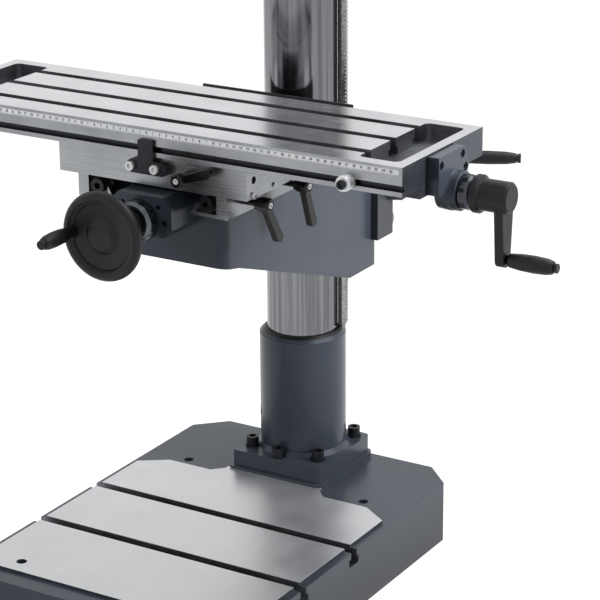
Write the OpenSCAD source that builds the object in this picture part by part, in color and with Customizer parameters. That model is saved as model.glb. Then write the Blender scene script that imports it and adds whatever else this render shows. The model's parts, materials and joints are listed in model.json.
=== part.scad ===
// Geared pillar drill with a compound cross table: millimetres, Z up, origin on the column axis at the floor,
// X to the operator's right, Y away from the operator.

/* [Base] */
// Width of the cast base
base_w = 430; // [380:1:520]
// Column axis to the front edge of the base
base_front = 540; // [480:1:620]
// Column axis to the rear edge of the base
base_rear = 72; // [70:1:120]
// Height of the painted top of the base
base_h = 90; // [70:1:130]
// Wall of the hollow base casting
base_wall = 18; // [12:1:24]
// Height of the machined face above the paint
base_face_h = 4; // [2:0.5:8]
// Painted ledge beside the machined face
base_ledge = 10; // [6:1:20]
// Slant cut off each rear corner, along X and Y
base_corner = 41; // [20:1:55]
// Column axis to the rear edge of the machined face
base_face_rear = 105; // [95:1:140]
// Column axis to the rear T-slot of the base
base_slot_first = 228; // [200:1:250]
// Distance between the two base T-slots
base_slot_pitch = 132; // [100:1:150]
// Width of the base T-slot at the face
base_slot_w = 15; // [12:0.5:18]
// Anchor holes: distance between them across the base
anchor_x = 294; // [250:1:310]
// Anchor holes: column axis to the rear pair
anchor_rear = 83; // [70:1:90]
// Anchor holes: column axis to the front pair
anchor_front = 485; // [455:1:500]
// Anchor hole diameter
anchor_d = 14; // [10:0.5:18]

/* [Column and socket] */
// Column diameter
column_d = 102; // [90:1:110]
// Column tube wall
column_wall = 10; // [6:1:16]
// Height of the column's top
column_top = 1560; // [1480:1:1620]
// Outer diameter of the socket sleeve
socket_d = 124; // [118:1:130]
// Height of the socket sleeve's top
socket_top = 302; // [280:1:310]
// Socket flange size along X
flange_x = 146; // [144:1:160]
// Column axis to the front of the socket flange
flange_front = 81; // [80:1:90]
// Column axis to the rear of the socket flange
flange_rear = 68; // [66:1:69]
// Socket flange thickness
flange_t = 24; // [16:1:30]
// Height of the boss that carries the flange, above the paint
boss_h = 8; // [5:1:14]

/* [Rack lift] */
// Direction of the rack round the column, from +X towards +Y
rack_az = 24; // [20:1:26]
// Module of the rack and pinion
rack_module = 1.75; // [1.5:0.05:1.8]
// Teeth on the pinion
pinion_teeth = 10; // [10:1:11]
// Width of the rack
rack_w = 14; // [10:1:16]
// Height of the top of the rack
rack_top = 1140; // [1000:1:1160]
// Arm's top face down to the pinion axis
pinion_drop = 107.5; // [97.5:0.5:112.5]
// Rise from the pinion axis to the crank shaft
worm_rise = 25; // [24:0.5:28]
// Length of the lift crank, square to its shaft
lift_crank_l = 102; // [80:1:120]

/* [Arm] */
// Width of the arm casting
arm_w = 163; // [162:1:180]
// Column axis to the arm's front face
arm_front = 328; // [310:1:340]
// Column axis to the arm's rear face
arm_rear = 75; // [72:1:90]
// Height of the arm's top face
arm_top = 577.5; // [570:0.5:585]
// Height of the arm casting at the column
arm_h = 189.5; // [177.5:0.5:197.5]
// Height of the arm casting at its front
arm_front_h = 82.5; // [67.5:0.5:107.5]
// Height of the cross way on top of the arm
way_h = 29.5; // [24:0.5:31]
// Width of the cross way at its foot
way_w = 114; // [100:1:120]

/* [Cross table] */
// Table length
table_l = 730; // [690:1:800]
// Table width
table_w = 210; // [200:1:230]
// Arm's top face up to the table's top face
table_rise = 107.5; // [102.5:0.5:117.5]
// Thickness of the table's slotted plate
table_t = 37; // [34:0.5:42]
// Column axis to the middle of the table
table_y = 272; // [265:1:280]
// Rest position of the table along X
table_x = 0; // [-20:1:20]
// Distance between the table's T-slots
slot_pitch = 63; // [50:1:66]
// Width of a T-slot at the face
slot_w = 14; // [10:0.5:16]
// Length of the coolant pocket at each end
pocket_l = 55; // [30:1:60]
// Wall beyond each coolant pocket
pocket_wall = 15; // [10:1:24]
// Width of the rim beside each coolant pocket
rim_w = 18; // [12:1:22]
// Width of the table's dovetail at its foot
tail_w = 120; // [100:1:130]
// Height of the table's dovetail
tail_h = 14; // [12:0.5:15]
// Saddle length along X
saddle_l = 286; // [270:1:320]
// Saddle width along Y
saddle_w = 196; // [180:1:200]
// Outer width over the saddle's two lower lugs
lug_w = 228; // [210:1:250]
// Table's top face down to the X screw's axis
x_screw_drop = 52; // [51:0.5:55]
// Arm's top face down to the Y screw's axis
y_screw_drop = 7.5; // [3.5:0.5:17.5]
// Diameter of both feed screws
screw_d = 20; // [16:0.5:22]
// Radius of the front handwheel
wheel_r = 58; // [50:1:70]
// Length of the end crank, shaft to grip
end_crank_l = 78; // [60:1:95]

/* [Head] */
// Height of the underside of the head's gear case
head_low = 1290; // [1270:1:1310]
// Height of the gear case
head_h = 280; // [260:1:300]
// Width of the gear case
head_w = 240; // [220:1:270]
// Column axis to the front of the gear case
head_front = 392; // [380:1:410]
// Length of the quill nose below the gear case
nose_l = 110; // [90:1:130]
// Outer diameter of the quill nose
nose_d = 116; // [110:1:124]
// Quill diameter
quill_d = 75; // [70:1:80]
// Quill travel that the pinion drives
quill_travel = 130; // [100:1:150]
// Teeth on the feed pinion
feed_teeth = 18; // [16:1:20]
// Module of the feed pinion
feed_module = 2; // [1.8:0.1:2.2]
// Length of each feed lever
feed_lever_l = 190; // [150:1:220]
// Motor body diameter
motor_d = 156; // [140:1:170]
// Motor body height
motor_h = 220; // [180:1:240]

/* [Hidden] */
$fn = 64;

paint = "#4a505a";
paint_dark = "#2c2f36";
ground = "#b9bcc0";
steel = "#8d9095";
black = "#1b1b1d";

eps = 0.01;
run = 0.3;          // gap between curved or sliding faces of different bodies
fit = 0.05;         // radial clearance of a shaft in its bearing
through = 500;      // length of a cut that runs right through
seat = 0.3;         // gap between a piece and the seat that carries it

column_r = column_d / 2;
socket_r = socket_d / 2;
socket_bevel = 8;
boss_top = base_h + boss_h;
boss_edge = 5;      // width of the boss seen round the flange
flange_top = boss_top + flange_t;
base_face_top = base_h + base_face_h;
base_face_edge = 30;                // front of the base to its machined face
base_post_t = 16;                   // iron left round an anchor hole
base_deck = 44;     // thickness of the base's top, with the slots cut in it
slot_neck = 10;     // depth of a base slot's narrow part
slot_tee_w = 25;    // width of a base slot's wide part
slot_tee_h = 11;    // height of a base slot's wide part
bolt_r = 6;
bolt_head_r = 9;
bolt_head_h = 12;
bolt_hex = 10;
bolt_in = 22;                       // length of a socket bolt in the base
bolt_hole_l = 30;
washer_r = 10.5;
washer_t = 2.5;
bolt_x = flange_x / 2 - 18;
bolt_y = flange_rear - 16;
spot_face_h = 8;                    // height cut clear of the sleeve over each socket bolt
socket_hole_az = 217;               // direction of the hole in the sleeve
socket_hole_rise = 76;
socket_hole_d = 18;
sleeve_foot = 6;                    // width and height of the cone at the sleeve's foot
socket_bolt_at = [[bolt_x, bolt_y], [-bolt_x, bolt_y], [bolt_x, -bolt_y], [-bolt_x, -bolt_y],
  [0, 10 - flange_front]];

// Rack and pinion: the pitch line runs beside the column, the pinion rolls on its outer side
pinion_z = arm_top - pinion_drop;
rack_pitch = PI * rack_module;
rack_back = column_r + 0.3;
rack_line = column_r + 13;
rack_tip = 1.0;                     // height of a rack tooth above the pitch line
pinion_r = rack_module * pinion_teeth / 2;
pinion_tip = 1.6;                   // height of a pinion tooth above the pitch circle
pinion_at = rack_line + pinion_r;
tooth_play = 0.15;
ring_h = 24;
ring_screw_r = 4;
pinion_shaft_r = 6;
wheel_module = 1.5;
lift_grip_l = 102;
lift_grip_at = 22;                  // crank arm's end to the grip
lift_hub_r = 16;
shaft_t = 46;                       // offset of the crank shaft from the rack, round the column
worm_z = pinion_z + worm_rise;
worm_r = 8.5;
worm_half = 13;                     // half length of the worm
wheel_teeth = 20;
lift_shaft_r = 7;
lift_boss_out = 126;                // column axis to the end of the gearbox boss, along the shaft
lift_hub_t = 13;
lift_crank_angle = 102;             // direction of the crank about its shaft, from straight down
lift_crank_step = 46;               // how far the crank's arm leans outward over its length
gearbox_low = pinion_z - 42;
gearbox_h = 112;
gearbox_in = 27;                    // inner side of the gearbox, from the column axis along X
gearbox_y = 54;
gearbox_d = 44;
gearbox_out = 11;                   // how far the gearbox stands out of the arm's side
gearbox_cap_r = 20;
gearbox_cap_t = 7;
clamp_turn = 20;                    // the split of the arm's hub lies this far round from the rear
clamp_half = 26;
clamp_at = arm_rear + 30;
arm_wall = 14;

arm_half = arm_w / 2;
arm_low = arm_top - arm_h;
arm_front_low = arm_top - arm_front_h;
way_half = way_w / 2;
slide_gap = 0.5;                    // vertical gap over the ways
lug_low = arm_top + slide_gap;
saddle_under = arm_top + way_h + slide_gap;
table_top = arm_top + table_rise;
x_screw_z = table_top - x_screw_drop;
y_screw_z = arm_top - y_screw_drop;
table_under = table_top - table_t;
saddle_top = table_under - 2;
tail_low = table_under - tail_h;
tail_half = tail_w / 2;
channel_floor = tail_low - slide_gap;
gib_t = 6;
saddle_front = -table_y - saddle_w / 2;
saddle_rear = -table_y + saddle_w / 2;
table_front = -table_y - table_w / 2;
screw_r = screw_d / 2;
nut_r = screw_r + 3.5;
nut_l = 44;
y_travel = 87.5;
screw_rear = 86;                    // column axis to the rear end of the Y screw's thread
nut_y = -screw_rear - 1.5 - y_travel - nut_l / 2;
groove_r = nut_r + 1.2;
way_rear = 75;                      // column axis to the rear end of the cross way
y_journal_out = 86;                 // front of the bearing block to the end of the Y screw
block_half = 47;                    // half width of the Y bearing block
block_top = y_screw_z + 32;
block_d = 67;
block_low = y_screw_z - 21;
block_holes = [[36, -1, 4.5], [27, 19, 3.2]];   // place about the screw's axis and radius
wheel_at = 22;                      // bearing block to the inner end of the handwheel
wheel_rim_at = 61;                  // the rim's distance along the wheel
wheel_rim_r = 8;
wheel_bore = 66;
wheel_knob_x = 13 - wheel_r;
wheel_grip_l = 53;
wheel_profile = [[0, 0], [18, 0], [20, 6], [20, 30], [26, 52], [48, 58], [48, 64], [24, 62], [17, 68],
  [0, 68]];
dial_profile = [[0, 0], [26, 0], [27, 1], [27, 15], [23.5, 20], [0, 20]];
grip_pin_r = 4;
grip_cap_r = 6;
block_front = -arm_front - block_d;
bracket_t = 16;
boss_r = 25;
bracket_boss = 12;
journal_r = screw_r - 2;
clamp_z = [arm_low + 45, arm_top - 45];
table_half = table_l / 2;
dial_at = table_half + bracket_t + bracket_boss + 1;
crank_t = 12;
end_grip_l = 63;
hub_at = dial_at + 15;              // column axis to an end crank's hub
x_dial_profile = [[0, 0], [21, 0], [22, 1], [22, 10], [19, 14], [0, 14]];
crank_profile = [[0, 0], [22, 0], [24, 2], [24, 9], [20, 12], [20, 46], [17, 49], [0, 49]];
crank_at = 32;                      // inner face of an end crank's hub to its arm
crank_bore = 45;                    // depth of the shaft's bore in an end crank
lock_z = arm_top + 17.5;
lock_at = [[-335, lock_z, 60, 31], [-240, lock_z, 57, 20]];   // each lever's Y, height, arm length and lean
x_lock_x = 53;
x_lock_z = table_top - 59;
guard_w = 240;
guard_h = 80;
guard_t = 3;
guard_y = -66;
guard_foot_w = 140;
table_slot_neck = 12;
table_tee = [24, 10];               // width and height of a table slot's wide part
pocket_d = 22;
table_stop_x = 292;
table_stop_profile = [[0, 0], [10, 0], [10, 14], [9, 15], [0, 15]];
stop_x = 0;
stop_z = saddle_top - 13;
stop_t = 9;                         // thickness of the stop bracket's foot
stop_foot = [60, 18];
stop_w = 23;
stop_rise = 37;                     // foot's middle to the top of the tab
stop_tab_t = 4;
stop_screw_at = [-23.5, 13.5];
lock_stud_l = 21;
lock_hub = [9.5, 21];               // radius and length of a saddle lever's hub
x_lock_stud_l = 3;
x_lock_hub = [9, 20];
x_lock_arm = [44, 18];              // length and rise of the table lock's arm
side_screw_y = [-356, -305];        // small screws on the saddle's right side
stop_groove_low = 23;               // top face down to the top of the stop groove
stop_groove_h = 8;
stop_groove_d = 6;

spindle_y = -table_y;
head_top = head_low + head_h;
nose_low = head_low - nose_l;
nose_r = nose_d / 2;
quill_r = quill_d / 2;
quill_low = nose_low - 18;
feed_z = head_low + 46;
feed_boss_r = 42;
spring_boss_r = 38;
feed_boss_h = 12;                   // length of the bosses on both sides of the head, 1 mm of it sunk in
quill_top = feed_z + quill_travel + 22;
spindle_r = 22;
spindle_low = quill_low - 34;
feed_r = feed_module * feed_teeth / 2;
feed_pitch = PI * feed_module;
feed_cut = 2.2;                     // depth that the quill's rack line lies inside its round face
feed_y = spindle_y + quill_r - feed_cut + feed_r;
hub_x = head_w / 2 + 12;
panel_z = head_low + 198;
panel_h = 116;
panel_w = 190;
panel_t = 26;
panel_front = -head_front - panel_t;
collar_h = 60;
collar_t = 26;
head_clamp_z = [head_low - 42, head_low - 18];
motor_fins = 24;
motor_foot_h = 16;
cowl_profile = [[0, 0], [motor_d / 2, 0], [motor_d / 2, 34], [motor_d / 2 - 12, 46], [0, 46]];
box_size = [44, 84, 96];
box_rise = 60;                      // underside of the motor to the terminal box
gear_lever_z = head_low + 96;
gear_lever_x = 62;
gear_lever_l = 56;
bearing_h = 18;
bearing_r = spindle_r + 8;
taper_r = [12, 9.5];
taper_l = 100;
feed_lever_r = 6;
feed_knob_r = 18;
hub_profile = [[0, 0], [40, 0], [40, 16], [30, 22], [30, 50], [24, 56], [0, 56]];
guard_low = nose_low - 136;
guard_skirt_h = 130;
guard_pin_r = 5;
guard_pin_l = 170;
guard_open = 200;                   // length of the cut that opens the skirt at the rear
guard_ear = [34, 24, 22];           // the guard clamp's ear that carries the pin
guard_pin_x = -nose_r - 22;
control_at = [[-66, panel_z + 24, 10], [-66, panel_z - 24, 10], [0, panel_z, 14], [62, panel_z, 9]];
cover_t = 22;
motor_low = head_top + cover_t + 12;

// Flat outlines

module rounded(w, d, r) {
  square([w - 2 * r, d], center = true);
  square([w, d - 2 * r], center = true);
  for (sx = [-1, 1], sy = [-1, 1])
    translate([sx * (w / 2 - r), sy * (d / 2 - r)]) circle(r);
}

module bar_end(length, r0, r1) {
  polygon([[0, -r0], [length, -r1], [length, r1], [0, r0]]);
  circle(r0);
  translate([length, 0]) circle(r1);
}

// Involute tooth outline, in degrees and millimetres
function involute_angle(base, r) = let (a = acos(min(1, base / r))) tan(a) * 180 / PI - a;
function tooth_points(module_, teeth, tip, root, play) =
  let (pitch_r = module_ * teeth / 2, base = pitch_r * cos(20), top = pitch_r + tip, low = pitch_r - root,
    half = 90 / teeth - play / pitch_r * 90 / PI, shift = half + involute_angle(base, pitch_r),
    radii = [for (i = [0 : 4]) max(base, low) + (top - max(base, low)) * i / 4])
  concat([[low, -shift]], [for (r = radii) [r, involute_angle(base, r) - shift]],
    [for (i = [4 : -1 : 0]) [radii[i], shift - involute_angle(base, radii[i])]], [[low, shift]]);

module gear_outline(module_, teeth, tip, root, play, phase = 0) {
  one = tooth_points(module_, teeth, tip, root, play);
  polygon([for (k = [0 : teeth - 1], p = one)
    let (a = p[1] + phase + k * 360 / teeth) [p[0] * cos(a), p[0] * sin(a)]]);
}

// Fasteners and levers, each drawn along +Z from the face it seats on

module cap_screw(r, h, hex, shank_r, shank_l) {
  difference() {
    cylinder(r = r, h = h);
    translate([0, 0, h * 0.45]) cylinder(d = hex / cos(30), h = h, $fn = 6);
  }
  if (shank_l > 0) translate([0, 0, -shank_l]) cylinder(r = shank_r, h = shank_l + eps);
}

module clamp_lever(stud_l, hub_r, hub_l, arm_l, angle) {
  translate([0, 0, -10]) cylinder(r = 4, h = stud_l + 10 + eps);
  translate([0, 0, stud_l]) difference() {
    rotate_extrude() polygon([[0, 0], [hub_r * 0.75, 0], [hub_r, hub_l * 0.35], [hub_r, hub_l - 2],
      [hub_r - 2, hub_l], [0, hub_l]]);
    translate([0, 0, hub_l - 1.5]) cylinder(r = hub_r * 0.6, h = 3);
  }
  translate([0, 0, stud_l + hub_l * 0.35]) rotate([0, 0, angle]) linear_extrude(hub_l * 0.42)
    bar_end(arm_l, hub_r * 0.52, hub_r * 0.68);
  translate([0, 0, stud_l + hub_l - 2]) cap_screw(hub_r * 0.42, 2.5, 4, 1, 0);
}

module revolving_grip(r, l, bore_r) {
  rotate_extrude() polygon([[bore_r, 0], [bore_r + 1.2, 0], [r * 0.8, l * 0.08], [r * 0.95, l * 0.3], [r, l * 0.6],
    [r * 0.92, l * 0.85], [r * 0.75, l * 0.97], [bore_r + 1.2, l], [bore_r, l]]);
}

// Base, socket and column

module base_outline(inset) {
  half = base_w / 2 - inset;
  front = -base_front + inset;
  nick = 12;
  rear = base_rear - inset;
  polygon([[-half, front + nick], [-half + nick, front], [half - nick, front], [half, front + nick],
    [half, rear - base_corner], [half - base_corner, rear], [-half + base_corner, rear],
    [-half, rear - base_corner]]);
}

module base_face_outline() {
  half = base_w / 2 - base_ledge;
  tongue = flange_x / 2 + 6;
  slant = [40, 27];                 // cut corner at the face's rear
  root = 16;                        // where the face runs into its tongue
  right = [[half, -base_front + base_face_edge], [half, -base_face_rear - slant[1]],
    [half - slant[0], -base_face_rear], [tongue + root, -base_face_rear], [tongue, root - base_face_rear],
    [tongue, -flange_front]];
  polygon(concat(right, [for (k = [len(right) - 1 : -1 : 0]) [-right[k][0], right[k][1]]]));
}

module base_slot() {
  translate([-base_w, -base_slot_w / 2, base_face_top - slot_neck - base_face_h])
    cube([2 * base_w, base_slot_w, slot_neck + base_face_h + 1]);
  translate([-base_w, -slot_tee_w / 2, base_face_top - slot_neck - base_face_h - slot_tee_h])
    cube([2 * base_w, slot_tee_w, slot_tee_h + eps]);
}

module base() {
  cell_x = (base_w - 3 * base_wall) / 2;
  cells = 3;
  cell_y = (base_front + base_rear - (cells + 1) * base_wall) / cells;
  color(paint) difference() {
    union() {
      linear_extrude(base_h) base_outline(0);
      linear_extrude(base_face_top) base_face_outline();
      translate([0, (base_rear - 2 - flange_front - boss_edge) / 2, 0])
        linear_extrude(boss_top) rounded(flange_x + 2 * boss_edge, base_rear - 2 + flange_front + boss_edge, 10);
    }
    difference() {
      for (ix = [0, 1], iy = [0 : cells - 1])
        translate([-base_w / 2 + base_wall + ix * (cell_x + base_wall),
          -base_front + base_wall + iy * (cell_y + base_wall), -1])
          cube([cell_x, cell_y, base_h - base_deck + 1]);
      difference() {
        translate([-base_w, -base_front, -2]) cube([2 * base_w, 2 * base_front, base_h]);
        translate([0, 0, -3]) linear_extrude(base_h + 2) base_outline(base_wall);
      }
      for (sx = [-1, 1], y = [-anchor_rear, -anchor_front])
        translate([sx * anchor_x / 2, y, -2]) cylinder(r = anchor_d / 2 + base_post_t, h = base_h);
      translate([0, 0, -2]) cylinder(r = socket_r + 12, h = base_h);
    }
    for (k = [0, 1]) translate([0, -base_slot_first - k * base_slot_pitch, 0]) base_slot();
    for (sx = [-1, 1], y = [-anchor_rear, -anchor_front])
      translate([sx * anchor_x / 2, y, -1]) cylinder(d = anchor_d, h = base_face_top + 2);
    for (p = socket_bolt_at)
      translate([p[0], p[1], boss_top - bolt_hole_l]) cylinder(r = bolt_r + fit, h = bolt_hole_l + 1);
  }
}

module column_socket() {
  color(paint) difference() {
    union() {
      translate([0, (flange_rear - flange_front) / 2, boss_top])
        linear_extrude(flange_t) rounded(flange_x, flange_front + flange_rear, 8);
      translate([0, 0, boss_top]) rotate_extrude() polygon([[0, 0], [socket_r + sleeve_foot, 0],
        [socket_r + sleeve_foot, flange_t], [socket_r, flange_t + sleeve_foot],
        [socket_r, socket_top - boss_top - socket_bevel],
        [socket_r - socket_bevel, socket_top - boss_top], [0, socket_top - boss_top]]);
    }
    translate([0, 0, boss_top - 1]) cylinder(r = column_r + fit, h = socket_top, $fn = 128);
    rotate([0, 0, socket_hole_az]) translate([0, 0, boss_top + socket_hole_rise]) rotate([0, 90, 0])
      cylinder(d = socket_hole_d, h = socket_d);
    for (p = socket_bolt_at) {
      translate([p[0], p[1], boss_top - 1]) cylinder(r = bolt_r + fit, h = flange_t + 2);
      translate([p[0], p[1], flange_top]) cylinder(r = washer_r + 0.5, h = spot_face_h);
    }
  }
}

module socket_bolts() {
  color(black) for (p = socket_bolt_at) translate([p[0], p[1], flange_top]) {
    cylinder(r = washer_r, h = washer_t);
    translate([0, 0, washer_t - eps])
      cap_screw(bolt_head_r, bolt_head_h, bolt_hex, bolt_r, flange_t + bolt_in);
  }
}

module column() {
  color(ground) difference() {
    translate([0, 0, boss_top]) cylinder(r = column_r, h = column_top - boss_top, $fn = 128);
    translate([0, 0, boss_top - 1]) cylinder(r = column_r - column_wall, h = column_top, $fn = 96);
  }
}

module rack_ring() {
  color(steel) difference() {
    translate([0, 0, rack_top + seat]) cylinder(r = rack_line + 6, h = ring_h);
    translate([0, 0, rack_top - 1]) cylinder(r = column_r + fit, h = ring_h + 6, $fn = 128);
    translate([0, 0, rack_top + ring_h / 2 + 1]) rotate([0, 90, rack_az + 180]) cylinder(r = ring_screw_r, h = 90);
  }
}

// The rack turns round the column with the arm

module rack_body() {
  teeth = floor((rack_top - socket_top - 12) / rack_pitch);
  first = pinion_z - floor((pinion_z - socket_top - 8) / rack_pitch) * rack_pitch;
  root = rack_line - pinion_tip - 0.35;
  quarter = rack_pitch / 4 - tooth_play / 2;
  low = quarter + (rack_line - root) * tan(20);
  high = quarter - rack_tip * tan(20);
  profile = concat([[rack_back, socket_top + seat], [root, socket_top + seat]],
    [for (k = [0 : teeth - 1], p = [[root, -low], [rack_line + rack_tip, -high],
      [rack_line + rack_tip, high], [root, low]]) [p[0], first + k * rack_pitch + p[1]]],
    [[root, rack_top], [rack_back, rack_top]]);
  bevel = 6;
  intersection() {
    rotate([90, 0, 0]) translate([0, 0, -rack_w / 2]) linear_extrude(rack_w) polygon(profile);
    linear_extrude(rack_top + 1) polygon([[rack_back - 1, -rack_w / 2 + bevel], [rack_back + bevel, -rack_w / 2],
      [pinion_at, -rack_w / 2], [pinion_at, rack_w / 2], [rack_back + bevel, rack_w / 2],
      [rack_back - 1, rack_w / 2 - bevel]]);
  }
}

module rack() {
  color(steel) rotate([0, 0, rack_az]) rack_body();
}

// Arm and its lift drive

module arm_side_profile() {
  polygon([[-arm_front, arm_front_low], [-arm_front + 34, arm_front_low - 7], [-6, arm_low],
    [arm_rear, arm_low], [arm_rear, arm_top], [-arm_front, arm_top]]);
}

module gearbox_box(extra) {
  translate([gearbox_in - extra, gearbox_y - extra, gearbox_low - extra])
    cube([arm_half + gearbox_out - gearbox_in + 2 * extra, gearbox_d + 2 * extra, gearbox_h + 2 * extra]);
}

module along_shaft() {
  rotate([0, 0, rack_az]) translate([0, shaft_t, worm_z]) rotate([0, 90, 0]) children();
}

module along_pinion() {
  rotate([0, 0, rack_az]) translate([pinion_at, 0, pinion_z]) rotate([-90, 0, 0]) children();
}

module dovetail(foot, low, high, out) {
  rise = (high - low) * tan(30) * out;
  polygon([[-foot, low], [foot, low], [foot + rise, high], [-foot - rise, high]]);
}

module arm_hollow() {
  rib = 6;
  for (span = [[-arm_front + arm_wall, -(arm_front + 74) / 2 - rib], [-(arm_front + 74) / 2 + rib, -74]])
    translate([0, (span[0] + span[1]) / 2, arm_low - 1])
      linear_extrude(y_screw_z - groove_r - arm_wall - arm_low + 1)
        rounded(arm_w - 2 * arm_wall, span[1] - span[0], 10);
}

module arm() {
  length = arm_front + arm_rear;
  color(paint) difference() {
    union() {
      intersection() {
        translate([arm_half, 0, 0]) rotate([90, 0, -90]) linear_extrude(arm_w)
          mirror([1, 0]) arm_side_profile();
        translate([0, (arm_rear - arm_front) / 2, 0]) linear_extrude(arm_top) rounded(arm_w, length, 14);
      }
      translate([0, -way_rear, 0]) rotate([90, 0, 0]) linear_extrude(arm_front - way_rear)
        dovetail(way_half, arm_top - eps, arm_top + way_h, 1);
      rotate([0, 0, clamp_turn]) translate([-clamp_half, arm_rear - 20, arm_low + 12])
        cube([2 * clamp_half, clamp_at + 16 - arm_rear + 20, arm_top - arm_low - 24]);
    }
    arm_hollow();
    translate([0, 0, arm_low - 1]) cylinder(r = column_r + 0.1, h = through, $fn = 128);
    rotate([0, 0, clamp_turn]) translate([-3, column_r - 6, arm_low - 1]) cube([6, clamp_at, through]);
    rotate([0, 0, rack_az]) translate([column_r - 4, -rack_w / 2 - 1, arm_low - 1])
      cube([rack_line + rack_tip + 1 - column_r + 4, rack_w + 2, through]);
    along_pinion() translate([0, 0, -rack_w / 2 - 1.5])
      cylinder(r = pinion_r + pinion_tip + 1, h = rack_w + 3);
    along_pinion() translate([0, 0, -20]) cylinder(r = pinion_shaft_r + fit, h = 90);
    gearbox_box(seat);
    translate([-24, -arm_front - 1, y_screw_z - groove_r])
      cube([48, arm_front + 1 - screw_rear, 2 * groove_r]);
    translate([0, -screw_rear + 16, y_screw_z]) rotate([90, 0, 0]) cylinder(r = journal_r + fit, h = 30);
    translate([-nut_r, nut_y - y_travel - nut_l / 2 - 1, y_screw_z])
      cube([2 * nut_r, 2 * y_travel + nut_l + 2, 60]);
    for (z = clamp_z) rotate([0, 0, clamp_turn]) translate([-50, clamp_at, z]) rotate([0, 90, 0])
      cylinder(r = 6.2, h = 100);
  }
}

module lift_gearbox() {
  color(paint_dark) difference() {
    union() {
      gearbox_box(0);
      along_shaft() translate([0, 0, pinion_at + 10]) cylinder(r = lift_hub_r, h = lift_boss_out - pinion_at - 10);
      translate([arm_half - 10, gearbox_y + gearbox_d - 1, gearbox_low + gearbox_cap_r]) rotate([-90, 0, 0])
        cylinder(r = gearbox_cap_r, h = gearbox_cap_t);
    }
    along_shaft() cylinder(r = lift_shaft_r + fit, h = 160);
    along_shaft() translate([0, 0, pinion_at - worm_half - 1]) cylinder(r = worm_r + 1.2, h = 2 * worm_half + 2);
    along_pinion() cylinder(r = pinion_shaft_r + fit, h = 90);
    along_pinion() translate([0, 0, shaft_t - 9]) cylinder(r = worm_rise - worm_r + 0.8, h = 18);
  }
}

module lift_pinion() {
  color(steel) along_pinion() {
    translate([0, 0, -rack_w / 2 + 0.5]) rotate([0, 0, 180 / pinion_teeth]) linear_extrude(rack_w - 1)
      gear_outline(rack_module, pinion_teeth, pinion_tip, rack_tip + 0.4, tooth_play);
    translate([0, 0, -16]) cylinder(r = pinion_shaft_r, h = shaft_t + 24);
    translate([0, 0, shaft_t - 7]) linear_extrude(14)
      gear_outline(wheel_module, wheel_teeth, worm_rise - worm_r - run - wheel_module * wheel_teeth / 2, 1.8, 0.2);
  }
}

module lift_crank_arm_end() {
  rotate([0, 0, lift_crank_angle]) translate([lift_crank_l, 0, lift_boss_out + seat + lift_crank_step]) children();
}

module lift_crank() {
  lean = atan(lift_crank_step / lift_crank_l);
  start = pinion_at - worm_half - 4;
  color(black) along_shaft() {
    translate([0, 0, start]) cylinder(r = lift_shaft_r, h = lift_boss_out - start + 4);
    translate([0, 0, pinion_at - worm_half]) cylinder(r = worm_r, h = 2 * worm_half);
    translate([0, 0, lift_boss_out + seat]) cylinder(r = lift_hub_r, h = lift_hub_t);
    rotate([0, 0, lift_crank_angle]) translate([0, 0, lift_boss_out + lift_hub_t - 6]) rotate([0, -lean, 0])
      linear_extrude(11) bar_end(lift_crank_l / cos(lean), 12, 9);
    lift_crank_arm_end() {
      cylinder(r = 10, h = lift_grip_at);
      cylinder(r = 5, h = lift_grip_at + lift_grip_l + 6);
      translate([0, 0, lift_grip_at + lift_grip_l + 1]) cylinder(r = 7, h = 5);
    }
  }
}

module lift_grip() {
  color(black) along_shaft() lift_crank_arm_end() translate([0, 0, lift_grip_at + seat])
    revolving_grip(10, lift_grip_l, 5 + fit);
}

module arm_lock_lever() {
  color(black) rotate([0, 0, clamp_turn]) translate([clamp_half + seat, clamp_at, clamp_z[1]])
    rotate([0, 90, 0]) {
      translate([0, 0, -2 * clamp_half - 12]) cylinder(r = 6, h = 2 * clamp_half + 13);
      translate([0, 0, -2 * clamp_half - 9.5]) cylinder(d = 20, h = 9, $fn = 6);
      clamp_lever(4, 13, 26, 84, 90);
    }
}

module arm_clamp_bolt() {
  color(black) rotate([0, 0, clamp_turn]) translate([clamp_half + seat, clamp_at, clamp_z[0]])
    rotate([0, 90, 0]) cap_screw(9, 12, 10, 6, 2 * clamp_half - 6);
}

// Saddle

function tail_edge(z, gap) = tail_half + gap - (z - tail_low) * tan(30);

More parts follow.
